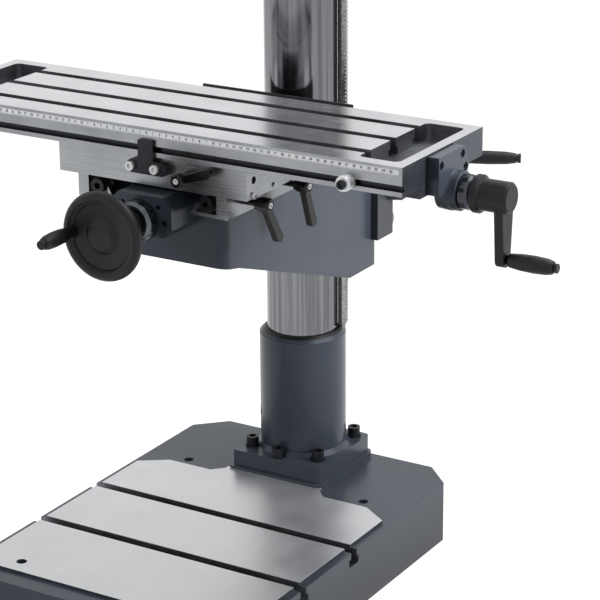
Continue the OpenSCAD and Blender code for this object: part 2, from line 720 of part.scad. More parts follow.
module saddle() {
  lug_half = lug_w / 2;
  rim = saddle_top + 1;
  gib_gap = run + gib_t + 0.1;
  color(ground) difference() {
    union() {
      translate([-saddle_l / 2, saddle_front, saddle_under]) cube([saddle_l, saddle_w, saddle_top - saddle_under]);
      translate([-lug_half, saddle_front, lug_low]) cube([lug_w, saddle_w, saddle_under - lug_low + eps]);
    }
    translate([0, saddle_rear + 1, 0]) rotate([90, 0, 0]) linear_extrude(saddle_w + 2)
      dovetail(way_half + run - (arm_top - lug_low + 1) * tan(30), lug_low - 1, saddle_under + eps, 1);
    translate([-saddle_l, -table_y, 0]) rotate([90, 0, 90]) linear_extrude(2 * saddle_l)
      polygon([[-tail_edge(channel_floor, gib_gap), channel_floor], [tail_edge(channel_floor, run), channel_floor],
        [tail_edge(rim, run), rim], [-tail_edge(rim, gib_gap), rim]]);
    translate([-saddle_l, -table_y, x_screw_z]) rotate([0, 90, 0]) cylinder(r = groove_r, h = 2 * saddle_l);
    translate([-nut_l / 2 - 0.5, -table_y - 10.5, x_screw_z - 21]) cube([nut_l + 1, 21, 21]);
    for (s = [-1, 1]) translate([s * 83 - 15, saddle_front - 1, lock_z - 12]) cube([30, 15, 24.5]);
    for (p = lock_at) translate([lug_half - 11, p[0], p[1]]) rotate([0, 90, 0]) cylinder(r = 4.3, h = 20);
    translate([x_lock_x, saddle_front - 1, x_lock_z]) rotate([-90, 0, 0]) cylinder(r = 4.3, h = 12);
    translate([saddle_l / 2 - 8, saddle_front + 17, saddle_top - 15]) rotate([0, 90, 0]) cylinder(r = 5, h = 10);
    translate([-12, nut_y - nut_l / 2 - 0.5, saddle_under - 4]) cube([24, nut_l + 1, 8]);
  }
}

module gib_strip() {
  low = channel_floor + 0.1;
  high = saddle_top - 0.5;
  color(steel) translate([-saddle_l / 2 + 4, -table_y, 0]) rotate([90, 0, 90]) linear_extrude(saddle_l - 8)
    polygon([[-tail_edge(low, run + gib_t), low], [-tail_edge(low, run), low], [-tail_edge(high, run), high],
      [-tail_edge(high, run + gib_t), high]]);
}

module saddle_screws() {
  lug_half = lug_w / 2;
  color(black) for (s = [-1, 1]) translate([s * 83, saddle_front + 14 - seat, lock_z])
    rotate([90, 0, 0]) cap_screw(10, 16, 8, 1, 0);
  color(steel) {
    for (x = stop_screw_at) translate([stop_x + x, saddle_front - stop_t - 2 * seat, stop_z])
      rotate([90, 0, 0]) cap_screw(6, 5, 6, 1, 0);
    for (y = side_screw_y) translate([saddle_l / 2 + seat, y, saddle_under + 5]) rotate([0, 90, 0])
      cap_screw(3.2, 2, 3, 1, 0);
  }
}

module saddle_lock(p) {
  color(black) translate([lug_w / 2 + seat, p[0], p[1]]) rotate([0, 90, 0]) 
    clamp_lever(lock_stud_l, lock_hub[0], lock_hub[1], p[2], p[3]);
}

module saddle_lock_front() { saddle_lock(lock_at[0]); }
module saddle_lock_rear() { saddle_lock(lock_at[1]); }

module table_lock() {
  color(black) translate([x_lock_x, saddle_front - seat, x_lock_z]) rotate([90, 0, 0])
    clamp_lever(x_lock_stud_l, x_lock_hub[0], x_lock_hub[1], x_lock_arm[0], x_lock_arm[1]);
}

module stop_bracket() {
  color(black) translate([stop_x, saddle_front - seat, stop_z]) rotate([90, 0, 0]) {
    linear_extrude(stop_t) rounded(stop_foot[0], stop_foot[1], stop_foot[1] / 2 - 1);
    translate([0, 7, 0]) linear_extrude(stop_t) rounded(stop_w, 14, 1);
    translate([0, (stop_rise + 8) / 2, saddle_front - table_front]) linear_extrude(stop_tab_t)
      rounded(stop_w, stop_rise - 8, 3);
  }
}

// Y feed

module y_bearing_block() {
  color(paint) difference() {
    union() {
      translate([0, -arm_front - seat, 0]) rotate([90, 0, 0]) linear_extrude(block_d)
        polygon([[-block_half + 12, block_low], [block_half - 12, block_low], [block_half, block_low + 12],
          [block_half, block_top - 13], [block_half - 13, block_top],
          [-block_half + 13, block_top], [-block_half, block_top - 13], [-block_half, block_low + 12]]);
      translate([0, block_front + 1, y_screw_z]) rotate([90, 0, 0]) cylinder(r = 29, h = 2);
    }
    translate([0, 0, y_screw_z]) rotate([90, 0, 0]) cylinder(r = journal_r + fit, h = through);
    for (s = [-1, 1], p = block_holes)
      translate([s * p[0], block_front + 7, y_screw_z + p[1]]) rotate([90, 0, 0]) cylinder(r = p[2], h = 9);
  }
}

module y_screw() {
  color(steel) translate([0, 0, y_screw_z]) rotate([90, 0, 0]) {
    translate([0, 0, screw_rear - 11]) cylinder(r = journal_r, h = y_journal_out - block_front - screw_rear + 11);
    translate([0, 0, screw_rear + 1]) cylinder(r = screw_r, h = arm_front - screw_rear - 3);
  }
}

module y_dial() {
  color(ground) translate([0, block_front - 1.5, y_screw_z]) rotate([90, 0, 0]) difference() {
    rotate_extrude() polygon(dial_profile);
    translate([0, 0, -1]) cylinder(r = journal_r + fit, h = 40);
  }
}

module y_handwheel() {
  color(black) translate([0, block_front - wheel_at, y_screw_z]) rotate([90, 0, 0]) {
    difference() {
      union() {
        rotate_extrude() polygon(wheel_profile);
        translate([0, 0, wheel_rim_at]) rotate_extrude() translate([wheel_r - wheel_rim_r, 0])
          circle(wheel_rim_r);
      }
      translate([0, 0, -1]) cylinder(r = journal_r + fit, h = wheel_bore);
    }
    translate([wheel_knob_x, 0, wheel_rim_at - 1]) {
      cylinder(r = 9, h = 10);
      cylinder(r = grip_pin_r, h = wheel_grip_l + 13);
      translate([0, 0, wheel_grip_l + 11]) cylinder(r = grip_cap_r, h = 4);
    }
  }
}

module y_grip() {
  color(black) translate([0, block_front - wheel_at, y_screw_z]) rotate([90, 0, 0])
    translate([wheel_knob_x, 0, wheel_rim_at + 9 + seat]) revolving_grip(10, wheel_grip_l, grip_pin_r + fit);
}

module y_nut() {
  color("#b08a4a") difference() {
    translate([0, nut_y, y_screw_z]) {
      rotate([90, 0, 0]) cylinder(r = nut_r, h = nut_l, center = true);
      translate([-11, -nut_l / 2, 0]) cube([22, nut_l, saddle_under - y_screw_z + 4 - seat]);
    }
    translate([0, 0, y_screw_z]) rotate([90, 0, 0]) cylinder(r = screw_r + fit, h = through);
  }
}

module x_nut() {
  color("#b08a4a") translate([0, -table_y, x_screw_z]) difference() {
    union() {
      rotate([0, 90, 0]) cylinder(r = nut_r, h = nut_l, center = true);
      translate([-nut_l / 2, -10, -21 + seat]) cube([nut_l, 20, 21]);
    }
    rotate([0, 90, 0]) cylinder(r = screw_r + fit, h = 60, center = true);
  }
}

module way_guard() {
  color(black) {
    translate([-guard_w / 2, guard_y, arm_top + seat]) cube([guard_w, guard_t, guard_h]);
    translate([-guard_foot_w / 2, guard_y - 8, arm_top + seat]) cube([guard_foot_w, 10, guard_t]);
  }
}

// Table

module table_slot(length) {
  tee_top = table_top - table_slot_neck;
  translate([-length, -slot_w / 2, tee_top]) cube([2 * length, slot_w, table_slot_neck + 1]);
  translate([-length, -table_tee[0] / 2, tee_top - table_tee[1]])
    cube([2 * length, table_tee[0], table_tee[1] + eps]);
}

module table() {
  pocket_mid = table_half - pocket_wall - pocket_l / 2;
  color(ground) difference() {
    union() {
      translate([table_x - table_half, table_front, table_under]) cube([table_l, table_w, table_t]);
      translate([table_x - table_half, -table_y, 0]) rotate([90, 0, 90]) linear_extrude(table_l)
        dovetail(tail_half, tail_low, table_under + eps, -1);
    }
    for (k = [-1 : 1]) translate([table_x, -table_y + k * slot_pitch, 0])
      table_slot(table_half - pocket_wall - 4);
    for (s = [-1, 1]) translate([table_x + s * pocket_mid, -table_y, table_top - pocket_d])
      linear_extrude(pocket_d + 1) rounded(pocket_l, table_w - 2 * rim_w, 8);
    translate([table_x - table_half - 1, table_front - 1, table_top - stop_groove_low - stop_groove_h])
      cube([table_l + 2, stop_groove_d + 1, stop_groove_h]);
    translate([table_x - table_half - 1, -table_y, x_screw_z]) rotate([0, 90, 0])
      cylinder(r = groove_r, h = table_l + 2);
  }
}

module x_screw() {
  outer = hub_at + crank_bore - 1;
  color(steel) translate([table_x, -table_y, x_screw_z]) rotate([0, 90, 0]) {
    cylinder(r = screw_r, h = table_l - 4, center = true);
    cylinder(r = journal_r, h = 2 * outer, center = true);
  }
}

module bracket(s) {
  top = table_top - 2;
  color(paint) translate([table_x + s * (table_half + seat), -table_y, 0]) mirror([s < 0 ? 1 : 0, 0, 0])
    difference() {
      union() {
        rotate([90, 0, 90]) linear_extrude(bracket_t) polygon([[-43, top - 48], [-43, top], [25, top],
          [37, top - 26], [25, x_screw_z], [0, x_screw_z - 20], [-24, x_screw_z - 2]]);
        translate([0, 0, x_screw_z]) rotate([0, 90, 0]) rotate_extrude() polygon([[0, 0], [boss_r, 0],
          [boss_r + 1, bracket_t], [boss_r, bracket_t + 3], [boss_r, bracket_t + bracket_boss - 1],
          [boss_r - 1, bracket_t + bracket_boss], [0, bracket_t + bracket_boss]]);
      }
      translate([-1, 0, x_screw_z]) rotate([0, 90, 0]) cylinder(r = journal_r + fit, h = 60);
      for (p = bracket_screw_at) translate([bracket_t - 7, p[0], p[1]]) rotate([0, 90, 0])
        cylinder(r = 5.3, h = 30);
    }
}

bracket_screw_at = [[-36, table_top - 13], [19, table_top - 11], [27, table_top - 29]];

module end_bracket_left() { bracket(-1); }
module end_bracket_right() { bracket(1); }

module bracket_screws() {
  color(steel) for (s = [-1, 1], p = bracket_screw_at)
    translate([table_x + s * (table_half + seat + bracket_t - 7 + seat), -table_y + p[0], p[1]])
      rotate([0, s * 90, 0]) cap_screw(5, 5, 4, 1, 0);
}

module x_dials() {
  color(black) for (s = [-1, 1]) translate([table_x + s * dial_at, -table_y, x_screw_z])
    rotate([0, s * 90, 0]) difference() {
      rotate_extrude() polygon(x_dial_profile);
      translate([0, 0, -1]) cylinder(r = journal_r + fit, h = 40);
    }
}

module x_crank(s) {
  color(black) translate([table_x + s * hub_at, -table_y, x_screw_z]) rotate([0, s * 90, 0])
    difference() {
      union() {
        rotate_extrude() polygon(crank_profile);
        rotate([0, 0, s > 0 ? 0 : 180]) translate([0, 0, crank_at])
          linear_extrude(crank_t) bar_end(end_crank_l, 16, 10);
        rotate([0, 0, s > 0 ? 0 : 180]) translate([end_crank_l, 0, crank_at]) {
          cylinder(r = grip_pin_r, h = crank_t + end_grip_l + 3);
          translate([0, 0, crank_t + end_grip_l + 1]) cylinder(r = grip_cap_r, h = 4);
        }
      }
      translate([0, 0, -1]) cylinder(r = journal_r + fit, h = crank_bore + 1);
    }
}

module x_crank_left() { x_crank(-1); }
module x_crank_right() { x_crank(1); }

module x_grip(s) {
  color(black) translate([table_x + s * hub_at, -table_y, x_screw_z]) rotate([0, s * 90, 0])
    rotate([0, 0, s > 0 ? 0 : 180]) translate([end_crank_l, 0, crank_at + crank_t + seat])
      revolving_grip(11, end_grip_l, grip_pin_r + fit);
}

module x_grip_left() { x_grip(-1); }
module x_grip_right() { x_grip(1); }

module table_stops() {
  color(steel) for (x = [-table_stop_x, table_stop_x]) translate([table_x + x, table_front, table_top - stop_groove_low
    - stop_groove_h / 2]) rotate([90, 0, 0]) {
    translate([0, 0, -stop_groove_d + seat]) cylinder(r = stop_groove_h / 2 - seat, h = stop_groove_d + eps);
    translate([0, 0, seat]) rotate_extrude() polygon(table_stop_profile);
    translate([0, 0, 15]) cap_screw(6, 5, 6, 1, 0);
  }
}

// Head

module head_outline(inset) {
  length = head_front + arm_rear + 5;
  translate([0, (arm_rear + 5 - head_front) / 2]) rounded(head_w - 2 * inset, length - 2 * inset, 36);
}

module head_hollow() {
  wall = 16;
  difference() {
    translate([0, 0, head_low + wall]) linear_extrude(head_h) head_outline(wall);
    translate([0, spindle_y, head_low]) cylinder(r = quill_r + 14, h = head_h);
    cylinder(r = column_r + wall, h = head_top + 1);
    translate([-head_w, feed_y, feed_z]) rotate([0, 90, 0]) cylinder(r = feed_r + 8, h = 2 * head_w);
  }
}

module head_casting() {
  color(paint) difference() {
    union() {
      translate([0, 0, head_low]) linear_extrude(head_h) head_outline(0);
      translate([0, spindle_y, nose_low]) cylinder(r = nose_r, h = nose_l + 1);
      translate([0, 0, head_low - collar_h]) cylinder(r = column_r + collar_t, h = collar_h + 1);
      translate([head_w / 2 - 1, feed_y, feed_z]) rotate([0, 90, 0])
        cylinder(r = feed_boss_r, h = feed_boss_h);
      translate([1 - feed_boss_h - head_w / 2, feed_y, feed_z]) rotate([0, 90, 0])
        cylinder(r = spring_boss_r, h = feed_boss_h);
    }
    translate([0, 0, head_low - collar_h - 10])
      cylinder(r = column_r + fit, h = column_top - head_low + collar_h + 11, $fn = 128);
    translate([0, spindle_y, nose_low - 1]) cylinder(r = quill_r + 0.1, h = quill_top - nose_low + 30);
    translate([0, spindle_y, quill_top]) cylinder(r = spindle_r + 2, h = head_top - quill_top + 5);
    translate([-22, feed_y, feed_z]) rotate([0, 90, 0]) cylinder(r = feed_r + 3.5, h = 44);
    translate([-head_w, feed_y, feed_z]) rotate([0, 90, 0]) cylinder(r = 12 + fit, h = head_w * 2);
    head_hollow();
    for (z = head_clamp_z) translate([-100, column_r + 13, z]) rotate([0, 90, 0])
      cylinder(r = 5.3, h = 200);
    translate([-3, column_r - 4, head_low - collar_h - 10]) cube([6, collar_h, collar_h + 9]);
  }
}

module head_cover() {
  color(paint_dark) difference() {
    union() {
      translate([0, 0, head_top]) linear_extrude(cover_t) head_outline(4);
      translate([0, spindle_y, head_top + cover_t - eps]) cylinder(r = motor_d / 2 + 6, h = 12);
    }
    translate([0, spindle_y, head_top - 1]) cylinder(r = spindle_r + 2, h = cover_t + 14);
  }
}

module head_clamp_screws() {
  color(black) for (z = head_clamp_z) translate([0, column_r + 13, z])
    rotate([0, 90, 0]) cylinder(r = 5, h = 84, center = true);
}

module motor() {
  color(paint_dark) translate([0, spindle_y, motor_low]) {
    cylinder(r = motor_d / 2 + 2, h = motor_foot_h);
    translate([0, 0, motor_foot_h - 1]) cylinder(r = motor_d / 2 - 10, h = motor_h - motor_foot_h + 1);
    for (k = [0 : motor_fins - 1]) rotate([0, 0, k * 360 / motor_fins])
      translate([motor_d / 2 - 14, -1.5, motor_foot_h - 1])
      cube([14, 3, motor_h - motor_foot_h + 1]);
    translate([0, 0, motor_h - 12]) cylinder(r = motor_d / 2 - 4, h = 12);
  }
}

module motor_cowl() {
  color(black) translate([0, spindle_y, motor_low + motor_h + seat]) difference() {
    rotate_extrude() polygon(cowl_profile);
    translate([0, 0, 3]) cylinder(r = motor_d / 2 - 16, h = 38);
    for (k = [0 : 7]) rotate([0, 0, k * 45]) translate([18, -3, 30]) cube([36, 6, 30]);
  }
}

module terminal_box() {
  color(paint_dark) translate([-motor_d / 2 - box_size[0], spindle_y - box_size[1] / 2, motor_low + box_rise])
    difference() {
      cube([box_size[0] - seat, box_size[1], box_size[2]]);
      translate([box_size[0] / 2 - 1, box_size[1] / 2, -1]) cylinder(r = 9, h = 12);
    }
}

module control_panel() {
  color(black) difference() {
    translate([-panel_w / 2, panel_front, panel_z - panel_h / 2]) cube([panel_w, panel_t - seat, panel_h]);
    for (p = control_at) translate([p[0], panel_front - 1, p[1]]) rotate([-90, 0, 0])
      cylinder(r = p[2] + run, h = 21);
  }
}

module push_button(p, head_r, shade) {
  color(shade) translate([p[0], panel_front + 12, p[1]]) rotate([90, 0, 0]) {
    cylinder(r = p[2], h = 18);
    translate([0, 0, 17]) cylinder(r = head_r, h = 6);
  }
}

module start_button() { push_button(control_at[0], 10, "green"); }
module stop_button() { push_button(control_at[1], 10, "firebrick"); }

module emergency_stop() {
  color("firebrick") translate([control_at[2][0], panel_front + 12, control_at[2][1]]) rotate([90, 0, 0]) {
    cylinder(r = control_at[2][2], h = 21);
    translate([0, 0, 20]) rotate_extrude() polygon([[0, 0], [18, 0], [20, 3], [20, 9], [14, 13], [0, 14]]);
  }
}

module main_switch() {
  color(black) translate([control_at[3][0], panel_front + 12, control_at[3][1]]) rotate([90, 0, 0]) {
    cylinder(r = control_at[3][2], h = 14);
    translate([0, 0, 13]) cylinder(r = 17, h = 6);
    translate([-4, -17, 18]) cube([8, 34, 10]);
  }
}

module gear_lever(s) {
  color(black) translate([s * gear_lever_x, -head_front - seat, gear_lever_z]) rotate([90, 0, 0]) {
    rotate_extrude() polygon([[0, 0], [20, 0], [20, 10], [15, 18], [0, 18]]);
    rotate([0, 0, -90]) {
      translate([0, 0, 5]) linear_extrude(9) bar_end(gear_lever_l, 8, 6);
      translate([gear_lever_l, 0, 10]) cylinder(r = 5, h = 24);
      translate([gear_lever_l, 0, 46]) sphere(r = 15);
    }
  }
}

module gear_lever_left() { gear_lever(-1); }
module gear_lever_right() { gear_lever(1); }

module quill() {
  teeth = ceil((quill_travel + 40) / feed_pitch);
  line = quill_r - feed_cut;
  tip = 1.2;
  quarter = feed_pitch / 4 + 0.08;
  first = feed_z - feed_pitch * 3;
  color(steel) difference() {
    translate([0, spindle_y, quill_low]) cylinder(r = quill_r, h = quill_top - quill_low);
    translate([0, spindle_y, quill_low - 1]) cylinder(r = bearing_r, h = 30);
    translate([0, spindle_y, quill_low - 1]) cylinder(r = spindle_r + 1, h = quill_top - quill_low + 2);
    translate([0, spindle_y, quill_top - 24]) cylinder(r = bearing_r, h = 30);
    translate([-12.5, spindle_y + line + tip, feed_z - 26]) cube([25, 20, quill_travel + 52]);
    for (k = [0 : teeth - 1]) translate([-12.5, spindle_y, first + k * feed_pitch]) rotate([90, 0, 90])
      linear_extrude(25) polygon([[line - 2.6, -quarter + 2.6 * tan(20)], [line + 4, -quarter - 4 * tan(20)],
        [line + 4, quarter + 4 * tan(20)], [line - 2.6, quarter - 2.6 * tan(20)]]);
  }
}

module spindle_bearings() {
  color(ground) for (z = [quill_low + 5 + seat, quill_top - bearing_h]) translate([0, spindle_y, z]) difference() {
    cylinder(r = bearing_r - 0.02, h = bearing_h);
    translate([0, 0, -1]) cylinder(r = spindle_r + fit, h = bearing_h + 2);
  }
}

module spindle() {
  color(ground) difference() {
    union() {
      translate([0, spindle_y, spindle_low]) cylinder(r = spindle_r + 6, h = quill_low - spindle_low + 5);
      translate([0, spindle_y, spindle_low]) cylinder(r = spindle_r, h = quill_top - spindle_low + 60);
    }
    translate([0, spindle_y, spindle_low - 1]) cylinder(r1 = taper_r[0], r2 = taper_r[1], h = taper_l);
    translate([-40, spindle_y - 4, spindle_low + 92]) cube([80, 8, 26]);
  }
}

module feed_lever_places(start) {
  for (k = [0 : 2]) translate([hub_x + 36, feed_y, feed_z]) rotate([90 + k * 120, 0, 0])
    rotate([0, 15, 0]) translate([0, 0, start]) children();
}

module feed_hub() {
  color(steel) difference() {
    translate([0, feed_y, feed_z]) rotate([0, 90, 0]) {
      translate([0, 0, -head_w / 2 - 8]) cylinder(r = 12, h = head_w / 2 + hub_x + 10);
      translate([0, 0, -11]) linear_extrude(22)
        gear_outline(feed_module, feed_teeth, 1.9, 1.6, 0.15, 90);
      translate([0, 0, hub_x + seat]) rotate_extrude()
        polygon(hub_profile);
    }
    feed_lever_places(22) cylinder(r = feed_lever_r + fit, h = 60);
  }
}

module feed_levers() {
  color(ground) feed_lever_places(22 + seat) cylinder(r = feed_lever_r, h = feed_lever_l);
}

module feed_knobs() {
  color(black) feed_lever_places(22 + feed_lever_l) difference() {
    translate([0, 0, 4]) sphere(r = feed_knob_r);
    translate([0, 0, -20]) cylinder(r = feed_lever_r + fit, h = 20 + 2 * seat);
  }
}

module guard_clamp() {
  color(paint_dark) translate([0, spindle_y, nose_low + 12]) difference() {
    union() {
      cylinder(r = nose_r + 9, h = 22);
      translate([-nose_r - guard_ear[0], -guard_ear[1] / 2, 0]) cube(guard_ear);
    }
    translate([0, 0, -1]) cylinder(r = nose_r + fit, h = 30);
    translate([guard_pin_x, 0, -1]) cylinder(r = guard_pin_r + fit, h = 30);
  }
}

module chuck_guard() {
  color([0.8, 0.85, 0.9, 0.4]) {
    translate([guard_pin_x, spindle_y, guard_low + 6]) cylinder(r = guard_pin_r, h = guard_pin_l);
    difference() {
      translate([0, spindle_y, guard_low]) cylinder(r = nose_r + 18, h = guard_skirt_h);
      translate([0, spindle_y, guard_low - 1]) cylinder(r = nose_r + 15, h = guard_skirt_h + 2);
      translate([-guard_open, spindle_y + 6, guard_low - 4])
        cube([2 * guard_open, guard_open, guard_skirt_h + 10]);
    }
    translate([guard_pin_x - 4, spindle_y - 6, guard_low]) cube([12, 12, guard_skirt_h]);
  }
}

base();
column_socket();
socket_bolts();
column();
rack_ring();
head_casting();
head_cover();
head_clamp_screws();
motor();
motor_cowl();
terminal_box();
control_panel();
quill();
spindle_bearings();
spindle();
feed_hub();
feed_levers();
feed_knobs();
guard_clamp();
chuck_guard();
start_button();
stop_button();
emergency_stop();
main_switch();
gear_lever_left();
gear_lever_right();
rack();
arm();
lift_gearbox();
lift_pinion();
lift_crank();
lift_grip();
arm_lock_lever();
arm_clamp_bolt();
saddle();
gib_strip();
saddle_screws();
saddle_lock_front();
saddle_lock_rear();
table_lock();
stop_bracket();
y_bearing_block();
y_screw();
y_dial();
y_handwheel();
y_grip();
y_nut();
x_nut();
way_guard();
table();
x_screw();
end_bracket_left();
end_bracket_right();
bracket_screws();
x_dials();
x_crank_left();
x_crank_right();
x_grip_left();
x_grip_right();
table_stops();
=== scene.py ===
import json
import math

import bmesh
import bpy
from mathutils import Matrix, Vector


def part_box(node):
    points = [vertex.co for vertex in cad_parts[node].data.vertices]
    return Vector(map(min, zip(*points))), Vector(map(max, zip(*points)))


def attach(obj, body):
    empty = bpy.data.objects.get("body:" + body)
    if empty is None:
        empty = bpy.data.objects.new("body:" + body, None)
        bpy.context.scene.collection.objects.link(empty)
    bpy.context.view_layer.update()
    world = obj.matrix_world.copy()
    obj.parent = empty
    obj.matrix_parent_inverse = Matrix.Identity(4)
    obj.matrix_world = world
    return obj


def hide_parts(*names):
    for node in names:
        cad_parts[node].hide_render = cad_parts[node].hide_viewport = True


bl_info = {
    "name": "Geared pillar drill",
    "version": (1, 0, 0),
    "blender": (4, 5, 0),
    "location": "3D View > Sidebar > Pillar drill",
    "description": "Dresses a packed pillar drill with its compound cross table and lights it",
    "category": "Object",
}

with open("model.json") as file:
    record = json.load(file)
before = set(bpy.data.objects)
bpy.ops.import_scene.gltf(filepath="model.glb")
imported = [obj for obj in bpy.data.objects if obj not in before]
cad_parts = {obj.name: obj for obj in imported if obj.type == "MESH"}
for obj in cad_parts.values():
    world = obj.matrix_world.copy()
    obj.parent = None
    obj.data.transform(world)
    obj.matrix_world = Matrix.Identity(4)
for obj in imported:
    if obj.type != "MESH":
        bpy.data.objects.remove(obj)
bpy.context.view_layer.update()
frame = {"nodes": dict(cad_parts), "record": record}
BODY_OF = {n: b for b, ns in frame["record"]["behaviour"]["bodies"].items() for n in ns}
MM = 0.001
WELD = 0.002 * MM  # corners this close are one
FLAT = 0.3  # faces that meet at fewer degrees are one
INK_DEPTH = 0.05 * MM
INK_SPREAD = 0.03  # of a figure's size


def srgb(code):
    """An sRGB hex colour as linear red, green, blue and alpha."""
    parts = [int(code[i:i + 2], 16) / 255 for i in (1, 3, 5)]
    return tuple(c / 12.92 if c <= 0.04045 else ((c + 0.055) / 1.055) ** 2.4 for c in parts) + (1.0,)


def add(tree, kind, sockets=None, **settings):
    """Adds a node, sets it up, and links or sets its input sockets."""
    made = tree.nodes.new(kind)
    for name, value in settings.items():
        setattr(made, name, value)
    for name, value in (sockets or {}).items():
        if isinstance(value, bpy.types.NodeSocket):
            tree.links.new(value, made.inputs[name])
        else:
            made.inputs[name].default_value = value
    return made


def bare_tree(owner):
    """The emptied node tree of a material or a world."""
    owner.use_nodes = True
    owner.node_tree.nodes.clear()
    return owner.node_tree


# Surfaces


def grain(tree, size, along=(1, 1, 1), detail=3.0, place=0.0):
    """Mottling on the piece's own coordinates: size is its width in mm, along makes it longer on each axis."""
    where = add(tree, "ShaderNodeTexCoord")
    scaled = add(tree, "ShaderNodeMapping", {"Vector": where.outputs["Object"], "Location": (place, place, place),
                                             "Scale": tuple(1 / (MM * size * a) for a in along)})
    return add(tree, "ShaderNodeTexNoise", {"Vector": scaled.outputs["Vector"], "Scale": 1.0,
                                            "Detail": detail}).outputs["Fac"]


def between(tree, fac, low, high, start=0.35, end=0.65):
    """A number that runs from low to high as fac runs from start to end."""
    return add(tree, "ShaderNodeMapRange", {"Value": fac, "From Min": start, "From Max": end, "To Min": low,
                                            "To Max": high}).outputs["Result"]


def shade(tree, fac, first, second, start=0.35, end=0.65):
    """A colour between two hex colours."""
    share = between(tree, fac, 0.0, 1.0, start, end)
    return add(tree, "ShaderNodeMix", {0: share, 6: srgb(first), 7: srgb(second)}, data_type="RGBA").outputs[2]


def surface(name, build):
    """A material: build fills the tree and returns what the shader's sockets get, the relief and its depth in m."""
    made = bpy.data.materials.get(name)
    if made:
        return made
    made = bpy.data.materials.new(name)
    tree = bare_tree(made)
    sockets, relief, depth = build(tree)
    if relief is not None:
        sockets["Normal"] = add(tree, "ShaderNodeBump", {"Height": relief, "Distance": depth,
                                                         "Strength": 1.0}).outputs["Normal"]
    shader = add(tree, "ShaderNodeBsdfPrincipled", sockets)
    add(tree, "ShaderNodeOutputMaterial", {"Surface": shader.outputs["BSDF"]})
    return made


def enamel(name, shaded_low):
    """Machine enamel sprayed on filled cast iron: soft orange peel and a satin highlight. When asked for, painted shade
    darkens it towards the floor."""
    def build(tree):
        peel = grain(tree, 1.6, detail=2.0)
        cloud = grain(tree, 90, detail=1.0, place=3.0)
        colour = shade(tree, cloud, sheet("paint_low"), sheet("paint_high"), 0.15, 0.85)
        # Painted shade: low down, the colour runs towards #14171b as it nears the floor.
        if shaded_low:
            where = add(tree, "ShaderNodeTexCoord")
            height = add(tree, "ShaderNodeSeparateXYZ", {"Vector": where.outputs["Object"]})
            floor_shade = between(tree, height.outputs["Z"], 0.75, 0.0, 0.02, 0.088)
            colour = add(tree, "ShaderNodeMix", {0: floor_shade, 6: colour, 7: srgb("#14171b")}, data_type="RGBA").outputs[2]
        return ({"Base Color": colour, "Roughness": between(tree, cloud, 0.27, 0.33, 0.15, 0.85),
                 "Coat Weight": 0.12, "Coat Roughness": 0.07,
                 "Specular IOR Level": 0.3, "Specular Tint": srgb("#dfe9fb")}, peel, 0.00006)
    return surface(name, build)


def cast_paint():
    """The blue-grey enamel of the castings."""
    return enamel("enamel_on_cast_iron", False)


def base_paint():
    """The same enamel on the base, with painted shade that darkens it low down towards the floor."""
    return enamel("enamel_on_base_with_painted_shade", True)


def dark_paint():
    """The darker enamel of the covers and the motor."""
    def build(tree):
        cloud = grain(tree, 50, detail=3.0)
        return ({"Base Color": shade(tree, cloud, "#202328", "#292c33"),
                 "Roughness": between(tree, cloud, 0.34, 0.44)}, grain(tree, 1.2, detail=2.0), 0.00006)
    return surface("dark_enamel", build)


def ground_iron(name, along, low, high, rough, depth=0.000012, metallic=1.0):
    """Ground or milled grey iron: fine straight tool marks, drawn out as along says, under faint oil clouds."""
    def build(tree):
        lines = grain(tree, 0.7, along=along, detail=4.0)
        cloud = grain(tree, 60, detail=5.0, place=7.0)
        mixed = add(tree, "ShaderNodeMath", {0: lines, 1: cloud}, operation="MULTIPLY").outputs[0]
        return ({"Base Color": shade(tree, mixed, low, high, 0.15, 0.38), "Metallic": metallic,
                 "Roughness": between(tree, mixed, rough, rough + 0.1, 0.15, 0.38)}, lines, depth)
    return surface(name, build)


def table_iron():
    """The table's top: ground along its length, so that it mirrors softly."""
    return ground_iron("ground_iron_table", (160, 1, 60), "#c2c4c7", "#d6d7da", 0.19)


def saddle_iron():
    """The saddle and the table's front: ground level, duller than the top, and darker than it with painted shade."""
    return ground_iron("ground_iron_saddle_shaded", (160, 60, 1), "#86888b", "#a0a2a5", 0.24)


def base_iron():
    """The base's face: finely milled from front to back, pale and nearly matt."""
    return ground_iron("milled_iron_base", (1, 120, 60), "#c3c4c6", "#cecfd1", 0.31, 0.000004, 0.85)


def slot_iron():
    """The rougher cutter-finished walls inside the slots and pockets, also darkened with painted shade for the recess.
    """
    return ground_iron("cutter_finished_iron_shaded", (60, 1, 1), "#686a6e", "#8a8c90", 0.42)


def column_steel():
    """Centreless-ground and polished tube: lines round it too fine to see, and faint vertical streaks of painted
    reflection.
    """
    def build(tree):
        # Painted reflection: long vertical streaks in the colour stand in for streaks of reflected light.
        reflection_streak = grain(tree, 5, along=(1, 1, 60), detail=3.0)
        rings = grain(tree, 0.8, along=(40, 40, 1), detail=2.0)
        return ({"Base Color": shade(tree, reflection_streak, "#66676a", "#86878a"), "Metallic": 1.0,
                 "Roughness": between(tree, reflection_streak, 0.11, 0.17)}, rings, 0.000003)
    return surface("polished_column_steel", build)


def cut_steel():
    """Hobbed and turned steel under a film of oil: the rack, gears, screws and pins."""
    def build(tree):
        spots = grain(tree, 4, detail=4.0)
        return ({"Base Color": shade(tree, spots, "#8d8f90", "#b4b5b4"), "Metallic": 1.0,
                 "Roughness": between(tree, spots, 0.26, 0.42)}, grain(tree, 0.9, along=(12, 12, 1)), 0.00001)
    return surface("oiled_cut_steel", build)


def satin_chrome():
    """Satin chrome plating over turned steel."""
    def build(tree):
        haze = grain(tree, 9, detail=3.0)
        return ({"Base Color": shade(tree, haze, "#b9bbbf", "#c9cbce"), "Metallic": 1.0,
                 "Roughness": between(tree, haze, 0.17, 0.25)}, grain(tree, 0.6, along=(1, 30, 1)), 0.000006)
    return surface("satin_chrome", build)


